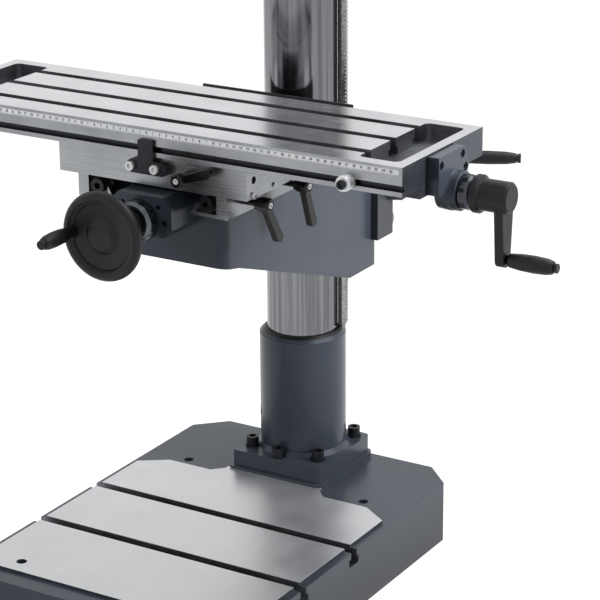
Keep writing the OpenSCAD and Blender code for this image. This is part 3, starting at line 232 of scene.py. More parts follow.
def black_oxide():
    """Chemically blackened steel with an oily satin sheen."""
    def build(tree):
        blotch = grain(tree, 6, detail=4.0)
        return ({"Base Color": shade(tree, blotch, "#15161a", "#24262b"), "Metallic": 0.55,
                 "Roughness": between(tree, blotch, 0.28, 0.4)}, grain(tree, 0.7), 0.00001)
    return surface("black_oxide_steel", build)


def polished_black():
    """Polished blackened steel of the feed dials, with clear reflections."""
    def build(tree):
        blotch = grain(tree, 8, detail=4.0)
        return ({"Base Color": shade(tree, blotch, "#3a3c42", "#4c4f56"), "Metallic": 0.8,
                 "Roughness": between(tree, blotch, 0.12, 0.2)}, grain(tree, 0.8, along=(1, 30, 30)), 0.000004)
    return surface("polished_black_steel", build)


def dial_steel():
    """Satin-turned steel of the cross feed's dial, darkened with painted shade."""
    def build(tree):
        worn = grain(tree, 7, detail=3.0)
        return ({"Base Color": shade(tree, worn, "#4c4f54", "#62656a"), "Metallic": 1.0,
                 "Roughness": between(tree, worn, 0.2, 0.3)}, grain(tree, 0.6, along=(1, 30, 1)), 0.000006)
    return surface("satin_dial_steel_shaded", build)


def turned_aluminium():
    """Matt turned aluminium: the table stops, the saddle's screws and the screws in the clamp levers' hubs."""
    def build(tree):
        dull = grain(tree, 4, detail=3.0)
        return ({"Base Color": shade(tree, dull, "#d2d4d6", "#e2e3e4"), "Metallic": 0.75,
                 "Roughness": between(tree, dull, 0.45, 0.58)}, grain(tree, 0.6, along=(1, 20, 1)), 0.00001)
    return surface("turned_aluminium", build)


def moulded_nylon():
    """Glass-filled nylon with a fine spark-eroded mould texture."""
    def build(tree):
        skin = grain(tree, 0.7, detail=2.0)
        cloud = grain(tree, 25, place=4.0)
        return ({"Base Color": shade(tree, cloud, "#0b0c0e", "#121316"), "Specular IOR Level": 0.3,
                 "Roughness": between(tree, cloud, 0.36, 0.46)}, skin, 0.00003)
    return surface("glass_filled_nylon", build)


def powder_coat():
    """Black powder coat of the die-cast clamp levers, with a slight orange peel."""
    def build(tree):
        peel = grain(tree, 1.6, detail=1.0)
        cloud = grain(tree, 22, place=2.0)
        return ({"Base Color": shade(tree, cloud, "#07070a", "#0d0d10"),
                 "Specular IOR Level": 0.28, "Roughness": between(tree, cloud, 0.24, 0.33)}, peel, 0.00002)
    return surface("black_powder_coat", build)


def guard_rubber():
    """Black way-guard rubber, matt and slightly dusty."""
    def build(tree):
        dust = grain(tree, 14, detail=5.0)
        return ({"Base Color": shade(tree, dust, "#101113", "#1c1d20"),
                 "Roughness": between(tree, dust, 0.6, 0.78)}, grain(tree, 1.0), 0.00004)
    return surface("way_guard_rubber", build)


def strip_enamel():
    """White enamelled aluminium scale strip, slightly greyed by oil."""
    def build(tree):
        oil = grain(tree, 22, along=(3, 1, 1), detail=4.0)
        return ({"Base Color": shade(tree, oil, "#e8eaed", "#f4f5f7"),
                 "Roughness": between(tree, oil, 0.34, 0.46)}, grain(tree, 1.2), 0.000008)
    return surface("white_enamel_strip", build)


def print_ink():
    """Baked black printing ink."""
    def build(tree):
        worn = grain(tree, 1.5, detail=3.0)
        return ({"Base Color": shade(tree, worn, "#0c0d0e", "#191a1d"),
                 "Roughness": between(tree, worn, 0.45, 0.6)}, None, 0)
    return surface("black_print", build)


def cast_bronze():
    """Sand-cast bronze, machined in the bore."""
    def build(tree):
        cast = grain(tree, 3, detail=4.0)
        return ({"Base Color": shade(tree, cast, "#93703a", "#b98f4f"), "Metallic": 1.0,
                 "Roughness": between(tree, cast, 0.3, 0.45)}, cast, 0.00003)
    return surface("cast_bronze", build)


def clear_polycarbonate():
    """Clear polycarbonate sheet with faint wipe marks."""
    def build(tree):
        wipe = grain(tree, 30, along=(1, 1, 5), detail=4.0)
        return ({"Base Color": shade(tree, wipe, "#e3ecef", "#f2f6f7"), "Roughness": between(tree, wipe, 0.04, 0.12),
                 "IOR": 1.58, "Transmission Weight": 0.95}, None, 0)
    return surface("clear_polycarbonate", build)


def button_plastic(name, low, high):
    """Gloss moulded plastic of a push button."""
    def build(tree):
        cloud = grain(tree, 12)
        return ({"Base Color": shade(tree, cloud, low, high), "Roughness": between(tree, cloud, 0.22, 0.3)},
                grain(tree, 0.8), 0.00001)
    return surface(name, build)


# Making pieces


def sheet(name):
    """One of the stated colours as hex."""
    return getattr(bpy.context.scene.drill_colours, name)


def new_piece(name, mesh, body, *surfaces):
    """Puts a finished mesh in the scene at the origin, riding on its body."""
    piece = bpy.data.objects.new(name, mesh)
    bpy.context.scene.collection.objects.link(piece)
    if surfaces:
        mesh.materials.clear()
        for one in surfaces:
            mesh.materials.append(one)
    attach(piece, body)
    return piece


def broken_edges(piece, width, angle=32.0):
    """Rounds every edge of a piece that is sharper than angle."""
    rounding = piece.modifiers.new("edge_break", "BEVEL")
    rounding.width = width
    rounding.segments = 2
    rounding.limit_method = "ANGLE"
    rounding.angle_limit = math.radians(angle)
    rounding.harden_normals = True
    rounding.use_clamp_overlap = True
    return piece


def finished(node, width, *surfaces, pick=None, angle=32.0, line=None):
    """The node's own shape with merged faces, broken edges and its finish. pick gives the surface number of a face
    from its centre, its normal and its corners, and line is a height at which faces are divided, so that the finish
    can change there."""
    mesh = frame["nodes"][node].data.copy()
    mesh.name = node + "_finished"
    mesh.materials.clear()
    for one in surfaces:
        mesh.materials.append(one)
    shape = bmesh.new()
    shape.from_mesh(mesh)
    bmesh.ops.remove_doubles(shape, verts=shape.verts, dist=WELD)
    bmesh.ops.dissolve_limit(shape, angle_limit=math.radians(FLAT), verts=shape.verts, edges=shape.edges)
    if line:
        bmesh.ops.bisect_plane(shape, geom=[*shape.verts, *shape.edges, *shape.faces], plane_co=(0, 0, line),
                               plane_no=(0, 0, 1))
    for face in shape.faces:
        face.smooth = True
        corners = [vert.co for vert in face.verts]
        face.material_index = pick(face.calc_center_median(), face.normal, corners) if pick else 0
    shape.to_mesh(mesh)
    shape.free()
    for old in [a.name for a in mesh.attributes if a.name in ("custom_normal", "sharp_edge", "sharp_face")]:
        mesh.attributes.remove(mesh.attributes[old])
    piece = new_piece(node + "_finished", mesh, BODY_OF[node])
    broken_edges(piece, width, angle)
    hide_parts(node)
    return piece


def box_mesh(name, low, high):
    """A closed box mesh between two corners, in metres."""
    mesh = bpy.data.meshes.new(name)
    shape = bmesh.new()
    bmesh.ops.create_cube(shape, size=1.0)
    middle = (Vector(low) + Vector(high)) / 2
    size = Vector(high) - Vector(low)
    for v in shape.verts:
        v.co = Vector((v.co.x * size.x, v.co.y * size.y, v.co.z * size.z)) + middle
    shape.to_mesh(mesh)
    shape.free()
    return mesh


def tree_piece(name, tree, values, body, finish):
    """Runs a geometry tree with its named inputs set, and keeps the result as a plain mesh on a body."""
    holder = bpy.data.objects.new(name + "_rule", bpy.data.meshes.new(name + "_rule"))
    bpy.context.scene.collection.objects.link(holder)
    rule = holder.modifiers.new("rule", "NODES")
    rule.node_group = tree
    for item in tree.interface.items_tree:
        if item.item_type == "SOCKET" and item.in_out == "INPUT" and item.name in values:
            rule[item.identifier] = values[item.name]
    ready = holder.evaluated_get(bpy.context.evaluated_depsgraph_get())
    mesh = bpy.data.meshes.new_from_object(ready)
    mesh.name = name
    bpy.data.objects.remove(holder)
    return new_piece(name, mesh, body, finish)


def rule_tree(name, inputs):
    """An empty geometry tree with named inputs, its input node and its way out."""
    tree = bpy.data.node_groups.new(name, "GeometryNodeTree")
    tree.interface.new_socket("Geometry", in_out="OUTPUT", socket_type="NodeSocketGeometry")
    for label, kind, value in inputs:
        tree.interface.new_socket(label, in_out="INPUT", socket_type=kind).default_value = value
    return tree, tree.nodes.new("NodeGroupInput")


def close_tree(tree, instances, finish):
    """Ends a tree in Realize Instances and Set Material."""
    real = add(tree, "GeometryNodeRealizeInstances", {"Geometry": instances})
    painted = add(tree, "GeometryNodeSetMaterial", {"Geometry": real.outputs["Geometry"], "Material": finish})
    out = tree.nodes.new("NodeGroupOutput")
    tree.links.new(painted.outputs["Geometry"], out.inputs["Geometry"])


def standing_mark(tree, along_x, along_y):
    """A mark that stands on its foot and is 1 m long, so that an instance's scale is its length."""
    size = add(tree, "ShaderNodeCombineXYZ", {"X": along_x, "Y": along_y, "Z": 1.0})
    mark = add(tree, "GeometryNodeMeshCube", {"Size": size.outputs["Vector"]})
    return add(tree, "GeometryNodeTransform", {"Geometry": mark.outputs["Mesh"],
                                               "Translation": (0, 0, 0.5)}).outputs["Geometry"]


def longer_every(tree, number, every, usual, longer):
    """The usual length, and the longer one where the number is a multiple of every."""
    rest = add(tree, "ShaderNodeMath", {0: number, 1: float(every)}, operation="MODULO")
    hit = add(tree, "ShaderNodeMath", {0: rest.outputs[0], 1: 0.5}, operation="LESS_THAN")
    return add(tree, "ShaderNodeMix", {0: hit.outputs[0], 2: usual, 3: longer}).outputs[0]


def ruled_marks():
    """Marks along a straight rule: count of them at a pitch along X, every fifth and tenth one longer."""
    tree, given = rule_tree("rule_marks", [
        ("Count", "NodeSocketInt", 11), ("Pitch", "NodeSocketFloat", 0.001), ("Width", "NodeSocketFloat", 0.0003),
        ("Short", "NodeSocketFloat", 0.001), ("Middle", "NodeSocketFloat", 0.002), ("Long", "NodeSocketFloat", 0.003),
        ("Depth", "NodeSocketFloat", 0.0001), ("Start", "NodeSocketVector", (0.0, 0.0, 0.0))])
    step = add(tree, "ShaderNodeCombineXYZ", {"X": given.outputs["Pitch"]})
    line = add(tree, "GeometryNodeMeshLine", {"Count": given.outputs["Count"],
                                              "Start Location": given.outputs["Start"],
                                              "Offset": step.outputs["Vector"]})
    mark = standing_mark(tree, given.outputs["Width"], given.outputs["Depth"])
    number = add(tree, "GeometryNodeInputIndex").outputs[0]
    length = given.outputs["Short"]
    for every, longer in ((5, "Middle"), (10, "Long")):
        length = longer_every(tree, number, every, length, given.outputs[longer])
    scale = add(tree, "ShaderNodeCombineXYZ", {"X": 1.0, "Y": 1.0, "Z": length})
    placed = add(tree, "GeometryNodeInstanceOnPoints", {"Points": line.outputs["Mesh"], "Instance": mark,
                                                        "Scale": scale.outputs["Vector"]})
    close_tree(tree, placed.outputs["Instances"], print_ink())
    return tree


def ring_marks():
    """Marks round a dial's rim, drawn on a ring about +Z: every fifth one is longer."""
    tree, given = rule_tree("dial_marks", [
        ("Count", "NodeSocketInt", 50), ("Radius", "NodeSocketFloat", 0.02), ("Width", "NodeSocketFloat", 0.0004),
        ("Short", "NodeSocketFloat", 0.003), ("Long", "NodeSocketFloat", 0.005),
        ("Depth", "NodeSocketFloat", 0.0002)])
    ring = add(tree, "GeometryNodeMeshCircle", {"Vertices": given.outputs["Count"],
                                                "Radius": given.outputs["Radius"]})
    mark = standing_mark(tree, given.outputs["Depth"], given.outputs["Width"])
    number = add(tree, "GeometryNodeInputIndex").outputs[0]
    length = longer_every(tree, number, 5, given.outputs["Short"], given.outputs["Long"])
    scale = add(tree, "ShaderNodeCombineXYZ", {"X": 1.0, "Y": 1.0, "Z": length})
    turn = add(tree, "ShaderNodeMath", {0: number, 1: given.outputs["Count"]}, operation="DIVIDE")
    angle = add(tree, "ShaderNodeMath", {0: turn.outputs[0], 1: 2 * math.pi}, operation="MULTIPLY")
    facing = add(tree, "ShaderNodeCombineXYZ", {"Z": angle.outputs[0]})
    placed = add(tree, "GeometryNodeInstanceOnPoints", {"Points": ring.outputs["Mesh"], "Instance": mark,
                                                        "Rotation": facing.outputs["Vector"],
                                                        "Scale": scale.outputs["Vector"]})
    close_tree(tree, placed.outputs["Instances"], print_ink())
    return tree


def figures(name, items, body, finish, turn, size):
    """Printed figures: each item is its text and the point of its middle; turn stands the flat text up."""
    joined = bmesh.new()
    for text, point in items:
        line = bpy.data.curves.new(name + "_text", "FONT")
        line.body = text
        line.size = size
        line.align_x = "CENTER"
        line.align_y = "CENTER"
        line.extrude = INK_DEPTH
        line.offset = size * INK_SPREAD
        holder = bpy.data.objects.new(name + "_text", line)
        bpy.context.scene.collection.objects.link(holder)
        flat = bpy.data.meshes.new_from_object(holder.evaluated_get(bpy.context.evaluated_depsgraph_get()))
        flat.transform(Matrix.Translation(Vector(point)) @ turn(point))
        joined.from_mesh(flat)
        bpy.data.objects.remove(holder)
        bpy.data.meshes.remove(flat)
    mesh = bpy.data.meshes.new(name)
    joined.to_mesh(mesh)
    joined.free()
    return new_piece(name, mesh, body, finish)


def round_axis(corners, across, axis, reach):
    """Whether a face's corners all lie within reach of an axis, seen along it: across are the two other coordinates."""
    return all(math.hypot(corner[across[0]] - axis[0], corner[across[1]] - axis[1]) < reach for corner in corners)


# Sizes and colours that a user would change


class DrillColours(bpy.types.PropertyGroup):
    """Colours of the paint, as hex codes."""
    paint_low: bpy.props.StringProperty(name="Paint, darker", description="Darker shade of the casting enamel",
                                        default="#2c3138")
    paint_high: bpy.props.StringProperty(name="Paint, lighter", description="Lighter shade of the casting enamel",
                                         default="#343942")


class DrillFinish(bpy.types.PropertyGroup):
    """Sizes of the finishing work."""
    cast_edge: bpy.props.FloatProperty(name="Cast edge", description="Rounding of painted casting edges",
                                       default=0.0022, min=0.0, max=0.006, unit="LENGTH")
    machined_edge: bpy.props.FloatProperty(name="Machined edge", description="Rounding of machined edges",
                                           default=0.0006, min=0.0, max=0.002, unit="LENGTH")
    moulded_edge: bpy.props.FloatProperty(name="Moulded edge", description="Rounding of moulded plastic edges",
                                          default=0.0014, min=0.0, max=0.004, unit="LENGTH")
    strip_top: bpy.props.FloatProperty(name="Scale strip top", description="Table top down to the scale strip",
                                       default=0.0039, min=0.002, max=0.008, unit="LENGTH")
    strip_height: bpy.props.FloatProperty(name="Scale strip height", description="Height of the scale strip",
                                          default=0.0074, min=0.004, max=0.01, unit="LENGTH")
    strip_reach: bpy.props.FloatProperty(name="Scale strip reach", description="Half length of the scale strip",
                                         default=0.361, min=0.2, max=0.365, unit="LENGTH")
    figure_height: bpy.props.FloatProperty(name="Figure height", description="Height of the scale's figures",
                                           default=0.0044, min=0.002, max=0.007, unit="LENGTH")
    dial_divisions: bpy.props.IntProperty(name="Dial divisions", description="Marks round the cross feed's dial",
                                          default=50, min=20, max=100)


class DrillStage(bpy.types.PropertyGroup):
    """Light levels and the lens."""
    overhead: bpy.props.FloatProperty(name="Overhead lamp", description="Power of the large lamp overhead",
                                      default=60.0, min=0.0, max=400.0, unit="POWER")
    side: bpy.props.FloatProperty(name="Side lamp", description="Power of the tall lamp on the right",
                                  default=9.0, min=0.0, max=200.0, unit="POWER")
    fill: bpy.props.FloatProperty(name="Front lamp", description="Power of the soft lamp at the front left",
                                  default=42.0, min=0.0, max=200.0, unit="POWER")
    sky: bpy.props.FloatProperty(name="Room light", description="Strength of the light from all round",
                                 default=0.45, min=0.0, max=2.0)
    lens: bpy.props.FloatProperty(name="Lens", description="Focal length on a 36 mm sensor",
                                  default=140.07, min=20.0, max=300.0)


class PieceStep:
    """What every step of the build shares."""
    bl_options = {"REGISTER", "UNDO"}

    def execute(self, context):
        self.make(context.scene.drill_finish)
        return {"FINISHED"}


class OBJECT_OT_drill_base(PieceStep, bpy.types.Operator):
    """Cast base with its milled face and T-slots"""
    bl_idname = "object.drill_base"
    bl_label = "Base"

    def make(self, s):
        face, face_rear = 0.094, -0.07
        slots, slot_half, slot_floor = (-0.228, -0.36), 0.0135, 0.06

        def pick(at, normal, corners):
            if abs(at.z - face) < 0.0004 and normal.z > 0.9 and at.y < face_rear:
                return 1
            # Faces sunk in the T-slots get the darker iron: rougher cutter finish, plus painted shade in the recess.
            in_slot = any(abs(at.y - slot) < slot_half for slot in slots)
            return 2 if in_slot and slot_floor < at.z < face - 0.0005 and abs(normal.x) < 0.5 else 0
        finished("base", s.cast_edge * 0.7, base_paint(), base_iron(), slot_iron(), pick=pick)


class OBJECT_OT_drill_column(PieceStep, bpy.types.Operator):
    """Column, its socket, the rack and the rack's upper ring"""
    bl_idname = "object.drill_column"
    bl_label = "Column and rack"

    def make(self, s):
        # The socket's top, round the column, is finished black above this height.
        black_band_height = 0.0035
        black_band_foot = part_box("column_socket")[1].z - black_band_height
        finished("column_socket", s.machined_edge, cast_paint(), moulded_nylon(), line=black_band_foot,
                 pick=lambda at, normal, corners: 1 if at.z > black_band_foot else 0)
        finished("column", s.machined_edge, column_steel())
        finished("rack", 0.00025, cut_steel(), angle=40)
        finished("rack_ring", s.machined_edge, cut_steel())
        finished("socket_bolts", s.machined_edge * 0.7, black_oxide())


class OBJECT_OT_drill_arm(PieceStep, bpy.types.Operator):
    """Arm casting with the lift gearbox, crank and lock"""
    bl_idname = "object.drill_arm"
    bl_label = "Arm and lift"

    def make(self, s):
        way, way_rear, shaft_seat = 0.5779, 0.02, 0.0984
        finished("arm", s.cast_edge, cast_paint(), table_iron(),
                 pick=lambda at, normal, corners: 1 if at.z > way and at.y < way_rear else 0)
        finished("lift_gearbox", s.cast_edge, dark_paint(), cut_steel(),
                 pick=lambda at, normal, corners: 1 if at.y > shaft_seat else 0)
        finished("lift_pinion", 0.0002, cut_steel())
        finished("lift_crank", s.moulded_edge, black_oxide())
        finished("lift_grip", s.moulded_edge * 0.6, moulded_nylon())
        finished("arm_lock_lever", s.moulded_edge * 0.8, powder_coat())
        finished("arm_clamp_bolt", s.machined_edge, black_oxide())
        finished("y_bearing_block", s.cast_edge * 0.8, cast_paint())
        finished("way_guard", s.machined_edge, guard_rubber())


class OBJECT_OT_drill_saddle(PieceStep, bpy.types.Operator):
    """Saddle with its gib, nuts, clamp levers and stop"""
    bl_idname = "object.drill_saddle"
    bl_label = "Saddle"

    def make(self, s):
        # The saddle's ground iron is the darker copy with painted shade.
        finished("saddle", s.machined_edge, saddle_iron())
        finished("gib_strip", s.machined_edge * 0.5, cut_steel())
        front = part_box("saddle")[0].y + 0.02
        lug_near, lug_far = 0.065, 0.12
        finished("saddle_screws", s.machined_edge * 0.6, black_oxide(), turned_aluminium(),
                 pick=lambda at, normal, corners: 0 if lug_near < abs(at.x) < lug_far and at.y < front else 1)
        hub_screw, screw_depth = 0.0045, 0.0027
        for node, axis in (("saddle_lock_front", (-0.335, 0.595)), ("saddle_lock_rear", (-0.24, 0.595))):
            hub_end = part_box(node)[1].x - screw_depth
            finished(node, s.moulded_edge, powder_coat(), turned_aluminium(), pick=lambda at, normal, corners:
                     int(at.x > hub_end and round_axis(corners, (1, 2), axis, hub_screw)))
        axis = (0.053, 0.626)
        hub_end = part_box("table_lock")[0].y + screw_depth
        finished("table_lock", s.moulded_edge, powder_coat(), turned_aluminium(), pick=lambda at, normal, corners:
                 int(at.y < hub_end and round_axis(corners, (0, 2), axis, hub_screw)))
        finished("stop_bracket", s.machined_edge, black_oxide())
        finished("y_nut", s.machined_edge, cast_bronze())
        finished("x_nut", s.machined_edge, cast_bronze())


class OBJECT_OT_drill_table(PieceStep, bpy.types.Operator):
    """Cross table with slots, pockets, brackets and stops"""
    bl_idname = "object.drill_table"
    bl_label = "Table"

    def make(self, s):
        low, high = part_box("table")
        rim, pocket, skin = 0.012, 0.024, 0.0005
        groove_top, groove_foot, groove_depth = high.z - 0.0228, high.z - 0.0312, 0.0068

        def pick(at, normal, corners):
            # Painted shade: faces inside the groove under the front edge are finished in black oxide.
            if low.y + skin < at.y < low.y + groove_depth and groove_foot < at.z < groove_top and abs(normal.x) < 0.5:
                return 3
            if abs(at.x) > high.x - skin or normal.z < -0.5:
                return 2
            # The table's front faces get the darker ground iron: painted shade on the front, darker than the top.
            if normal.y < -0.5 and at.y < low.y + skin:
                return 4
            # Faces sunk in the slots and pockets get the darker iron: rougher cutter finish, plus painted shade in the
            # recess.
            inside = low.y + rim < at.y < high.y - rim and abs(at.x) < high.x - rim
            return 1 if inside and high.z - pocket < at.z < high.z - 0.0006 else 0
        finished("table", s.machined_edge, table_iron(), slot_iron(), dark_paint(), black_oxide(), saddle_iron(),
                 pick=pick)
        for node in ("end_bracket_left", "end_bracket_right"):
            finished(node, s.cast_edge * 0.7, cast_paint())
        finished("bracket_screws", s.machined_edge * 0.6, black_oxide())
        near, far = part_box("table_stops")
        radius = (far.z - near.z) / 2
        middle, apart = (near.x + far.x) / 2, (far.x - near.x) / 2 - radius
        socket_depth, socket_reach = 0.005, 0.0065

        def stop_pick(at, normal, corners):
            axis = (math.copysign(apart, at.x - middle) + middle, near.z + radius)
            return int(at.y < near.y + socket_depth and round_axis(corners, (0, 2), axis, socket_reach))
        finished("table_stops", s.machined_edge, turned_aluminium(), black_oxide(), pick=stop_pick)


class OBJECT_OT_drill_scale(PieceStep, bpy.types.Operator):
    """Centimetre scale on the table's front edge"""
    bl_idname = "object.drill_scale"
    bl_label = "Table scale"

    def make(self, s):
        low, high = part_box("table")
        top = high.z - s.strip_top
        bottom = top - s.strip_height
        proud, sunk = 0.5 * MM, 0.1 * MM
        face = low.y - proud
        strip = new_piece("scale_strip", box_mesh("scale_strip", (-s.strip_reach, face, bottom),
                                                  (s.strip_reach, low.y + sunk, top)), "table_carriage",
                          strip_enamel())
        broken_edges(strip, 0.15 * MM)
        centimetres = int(s.strip_reach // (10 * MM))
        marks = centimetres * 10
        print_face, foot, gap = face - INK_DEPTH, 0.3 * MM, 2.8 * MM
        tree_piece("scale_marks", ruled_marks(), {
            "Count": 2 * marks + 1, "Pitch": MM, "Width": 0.28 * MM, "Short": 1.1 * MM, "Middle": 1.6 * MM,
            "Long": 2.3 * MM, "Depth": 0.1 * MM, "Start": (-marks * MM, print_face, bottom + foot)},
            "table_carriage", print_ink())
        upright = Matrix.Rotation(math.radians(90), 4, "X")
        middle = bottom + gap + s.figure_height * 0.42
        figures("scale_figures", [(str(abs(k)), (k * 10 * MM, print_face, middle))
                                  for k in range(-centimetres + 1, centimetres)], "table_carriage", print_ink(),
                lambda at: upright, s.figure_height)


class OBJECT_OT_drill_cross_feed(PieceStep, bpy.types.Operator):
    """Screw, dial and handwheel that feed the saddle"""
    bl_idname = "object.drill_cross_feed"
    bl_label = "Cross feed"

    def make(self, s):
        finished("y_screw", s.machined_edge, cut_steel())
        # The dial's steel is darkened with painted shade.
        finished("y_dial", s.machined_edge * 0.8, dial_steel())
        finished("y_handwheel", s.moulded_edge, moulded_nylon())
        finished("y_grip", s.machined_edge, moulded_nylon())
        low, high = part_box("y_dial")
        rim, figures_down, figure_height, lift = 0.0035, 0.0095, 0.0034, 0.00002
        axis = Vector(((low.x + high.x) / 2, high.y - rim, (low.z + high.z) / 2))
        radius = (high.x - low.x) / 2
        marks = tree_piece("y_dial_marks", ring_marks(), {"Count": s.dial_divisions, "Radius": radius,
                                                          "Short": 0.0045, "Long": 0.007}, "y_feed", print_ink())
        marks.data.transform(Matrix.Translation(axis) @ Matrix.Rotation(math.radians(90), 4, "X"))
        items = []
        for k in range(0, s.dial_divisions, 5):
            angle = 2 * math.pi * k / s.dial_divisions
            items.append((str(k), (axis.x + (radius + lift) * math.cos(angle), axis.y - figures_down,
                                   axis.z + (radius + lift) * math.sin(angle))))

        def outward(point):
            angle = math.atan2(point[2] - axis.z, point[0] - axis.x)
            up, out = Vector((0, 1, 0)), Vector((math.cos(angle), 0, math.sin(angle)))
            return Matrix((up.cross(out), up, out)).transposed().to_4x4()
        figures("y_dial_figures", items, "y_feed", print_ink(), outward, figure_height)


class OBJECT_OT_drill_long_feed(PieceStep, bpy.types.Operator):
    """Screw, dials and end cranks that feed the table"""
    bl_idname = "object.drill_long_feed"
    bl_label = "Table feed"

    def make(self, s):
        finished("x_screw", s.machined_edge, cut_steel())
        finished("x_dials", s.machined_edge, polished_black())
        for side in ("left", "right"):
            finished("x_crank_" + side, s.moulded_edge, moulded_nylon())
            finished("x_grip_" + side, s.machined_edge, moulded_nylon())


class OBJECT_OT_drill_head(PieceStep, bpy.types.Operator):
    """Closed gear case with its cover, motor and terminal box"""
    bl_idname = "object.drill_head"
    bl_label = "Head and motor"

    def make(self, s):
        finished("head_casting", s.cast_edge, cast_paint())
        finished("head_cover", s.cast_edge, dark_paint())
        finished("head_clamp_screws", s.machined_edge, black_oxide())
        finished("motor", s.machined_edge, dark_paint())
        finished("motor_cowl", s.moulded_edge, moulded_nylon())
        finished("terminal_box", s.moulded_edge, dark_paint())


class OBJECT_OT_drill_controls(PieceStep, bpy.types.Operator):
    """Control panel, buttons, switch and gear levers"""
    bl_idname = "object.drill_controls"
    bl_label = "Controls"

    def make(self, s):
        finished("control_panel", s.moulded_edge, moulded_nylon())
        red = button_plastic("red_button_plastic", "#8e1512", "#a81d17")
        finished("start_button", s.machined_edge, button_plastic("green_button_plastic", "#17662c", "#1f7a37"))
        finished("stop_button", s.machined_edge, red)
        finished("emergency_stop", s.machined_edge * 1.5, red)
        finished("main_switch", s.machined_edge * 1.5, moulded_nylon())
        for side in ("left", "right"):
            finished("gear_lever_" + side, s.moulded_edge, moulded_nylon())


class OBJECT_OT_drill_spindle(PieceStep, bpy.types.Operator):
    """Quill, spindle and the capstan that feeds them"""
    bl_idname = "object.drill_spindle"
    bl_label = "Quill and spindle"

    def make(self, s):
        finished("quill", s.machined_edge, column_steel())
        finished("spindle_bearings", s.machined_edge * 0.5, cut_steel())
        finished("spindle", s.machined_edge, cut_steel())
        finished("feed_hub", s.machined_edge, cut_steel())
        finished("feed_levers", s.machined_edge, satin_chrome())
        finished("feed_knobs", s.machined_edge, moulded_nylon())


class OBJECT_OT_drill_guard(PieceStep, bpy.types.Operator):
    """Swinging guard round the spindle nose"""
    bl_idname = "object.drill_guard"
    bl_label = "Spindle guard"

    def make(self, s):
        finished("guard_clamp", s.moulded_edge, dark_paint())
        finished("chuck_guard", s.machined_edge * 0.6, clear_polycarbonate())


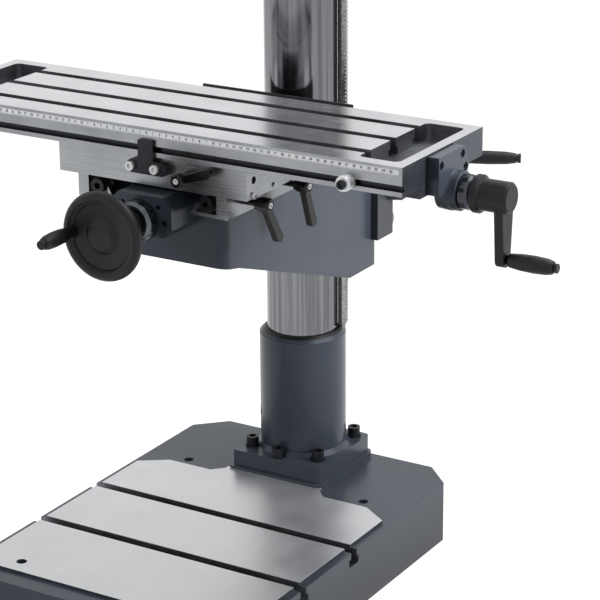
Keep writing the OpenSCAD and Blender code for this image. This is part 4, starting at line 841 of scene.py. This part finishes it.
class SCENE_OT_drill_stage(PieceStep, bpy.types.Operator):
    """Plain pale floor, soft light and the camera"""
    bl_idname = "scene.drill_stage"
    bl_label = "Stage"

    def make(self, s):
        stage = bpy.context.scene.drill_stage
        self.floor()
        self.room(stage)
        self.lamp("overhead_lamp", stage.overhead, place=(0.9, 0.9, 3.0), aim=(0.1, -0.2, 0.5), width=2.4, height=2.4,
                  mirrored=True)
        self.lamp("side_lamp", stage.side, place=(1.9, 0.1, 1.3), aim=(0.0, 0.0, 0.8), width=0.4, height=1.0,
                  spread=55.0)
        self.lamp("front_lamp", stage.fill, place=(-1.6, -2.2, 2.2), aim=(0.0, -0.2, 0.5), width=1.6, height=1.6)
        self.camera(stage)
        bpy.context.scene.view_settings.view_transform = "Standard"

    def lamp(self, name, power, place, aim, width, height, spread=180.0, mirrored=False):
        """A soft rectangular lamp in watts and metres. Only a mirrored one shows in reflections."""
        light = bpy.data.lights.new(name, "AREA")
        light.shape = "RECTANGLE"
        light.size, light.size_y, light.energy = width, height, power
        light.spread = math.radians(spread)
        holder = bpy.data.objects.new(name, light)
        holder.location = place
        holder.rotation_euler = (Vector(aim) - Vector(place)).to_track_quat("-Z", "Y").to_euler()
        holder.visible_glossy = mirrored
        bpy.context.scene.collection.objects.link(holder)

    def seen(self, tree):
        """Two sockets: 1 for a ray from the eye or a reflection, and 1 for a ray through the clear guard."""
        path = add(tree, "ShaderNodeLightPath")
        plain = add(tree, "ShaderNodeMath", {0: path.outputs["Is Camera Ray"], 1: path.outputs["Is Glossy Ray"]},
                    operation="MAXIMUM")
        return plain.outputs[0], path.outputs["Is Transmission Ray"]

    def floor(self):
        """A wide floor that is white to the eye and in reflections, and keeps the shadow."""
        reach, glow_level = 14, 0.86
        mesh = bpy.data.meshes.new("floor")
        mesh.from_pydata([(-reach, -reach, 0), (reach, -reach, 0), (reach, reach, 0), (-reach, reach, 0)], [],
                         [(0, 1, 2, 3)])
        made = bpy.data.materials.new("pale_studio_floor")
        tree = bare_tree(made)
        paper = add(tree, "ShaderNodeBsdfDiffuse", {"Color": shade(tree, grain(tree, 3), "#8b8b8b", "#909090")})
        plain, through = self.seen(tree)
        clear = add(tree, "ShaderNodeMath", {0: plain, 1: glow_level, 2: through}, operation="MULTIPLY_ADD")
        glow = add(tree, "ShaderNodeEmission", {"Strength": clear.outputs[0]})
        both = add(tree, "ShaderNodeAddShader", {0: paper.outputs[0], 1: glow.outputs[0]})
        add(tree, "ShaderNodeOutputMaterial", {"Surface": both.outputs[0]})
        mesh.materials.append(made)
        holder = bpy.data.objects.new("floor", mesh)
        bpy.context.scene.collection.objects.link(holder)

    def room(self, stage):
        """White to the eye, in reflections and through the guard, and dim as a light."""
        world = bpy.data.worlds.new("studio")
        bpy.context.scene.world = world
        tree = bare_tree(world)
        plain, through = self.seen(tree)
        clear = add(tree, "ShaderNodeMath", {0: plain, 1: through}, operation="MAXIMUM")
        level = add(tree, "ShaderNodeMix", {0: clear.outputs[0], 2: stage.sky, 3: 1.0})
        glow = add(tree, "ShaderNodeBackground", {"Color": srgb("#ffffff"), "Strength": level.outputs[0]})
        add(tree, "ShaderNodeOutputWorld", {"Surface": glow.outputs[0]})

    def camera(self, stage):
        """The photograph's view, from the right front and a little above the table."""
        eye = bpy.data.cameras.new("camera")
        eye.lens, eye.sensor_width = stage.lens, 36.0
        eye.shift_x, eye.shift_y = 0.042, -0.05
        eye.clip_start, eye.clip_end = 0.1, 60.0
        holder = bpy.data.objects.new("camera", eye)
        place = (1.62345, -2.6982, 1.46061)
        turn, down, roll = (math.radians(a) for a in (31.749, 18.863, -0.637))
        ahead = Vector((-math.sin(turn) * math.cos(down), math.cos(turn) * math.cos(down), -math.sin(down)))
        level = Vector((math.cos(turn), math.sin(turn), 0.0))
        rise = level.cross(ahead)
        right = level * math.cos(roll) + rise * math.sin(roll)
        up = rise * math.cos(roll) - level * math.sin(roll)
        holder.matrix_world = Matrix.Translation(place) @ Matrix((right, up, -ahead)).transposed().to_4x4()
        bpy.context.scene.collection.objects.link(holder)
        bpy.context.scene.camera = holder


class VIEW3D_PT_drill(bpy.types.Panel):
    """Sizes, colours and steps of the pillar drill"""
    bl_idname = "VIEW3D_PT_drill"
    bl_label = "Pillar drill"
    bl_space_type = "VIEW_3D"
    bl_region_type = "UI"
    bl_category = "Pillar drill"

    def draw(self, context):
        for group in (context.scene.drill_colours, context.scene.drill_finish, context.scene.drill_stage):
            for name in group.__annotations__:
                self.layout.prop(group, name)
        for step in STEPS:
            self.layout.operator(step.bl_idname)


GROUPS = (DrillColours, DrillFinish, DrillStage)
STEPS = (SCENE_OT_drill_stage, OBJECT_OT_drill_base, OBJECT_OT_drill_column, OBJECT_OT_drill_arm,
         OBJECT_OT_drill_saddle, OBJECT_OT_drill_table, OBJECT_OT_drill_scale, OBJECT_OT_drill_cross_feed,
         OBJECT_OT_drill_long_feed, OBJECT_OT_drill_head, OBJECT_OT_drill_controls, OBJECT_OT_drill_spindle,
         OBJECT_OT_drill_guard)


def register():
    for one in (*GROUPS, *STEPS, VIEW3D_PT_drill):
        bpy.utils.register_class(one)
    bpy.types.Scene.drill_colours = bpy.props.PointerProperty(type=DrillColours)
    bpy.types.Scene.drill_finish = bpy.props.PointerProperty(type=DrillFinish)
    bpy.types.Scene.drill_stage = bpy.props.PointerProperty(type=DrillStage)


def unregister():
    for name in ("drill_stage", "drill_finish", "drill_colours"):
        delattr(bpy.types.Scene, name)
    for one in reversed((*GROUPS, *STEPS, VIEW3D_PT_drill)):
        bpy.utils.unregister_class(one)


def main():
    register()
    for step in STEPS:
        area, name = step.bl_idname.split(".")
        getattr(getattr(bpy.ops, area), name)()


if __name__ == "__main__":
    main()
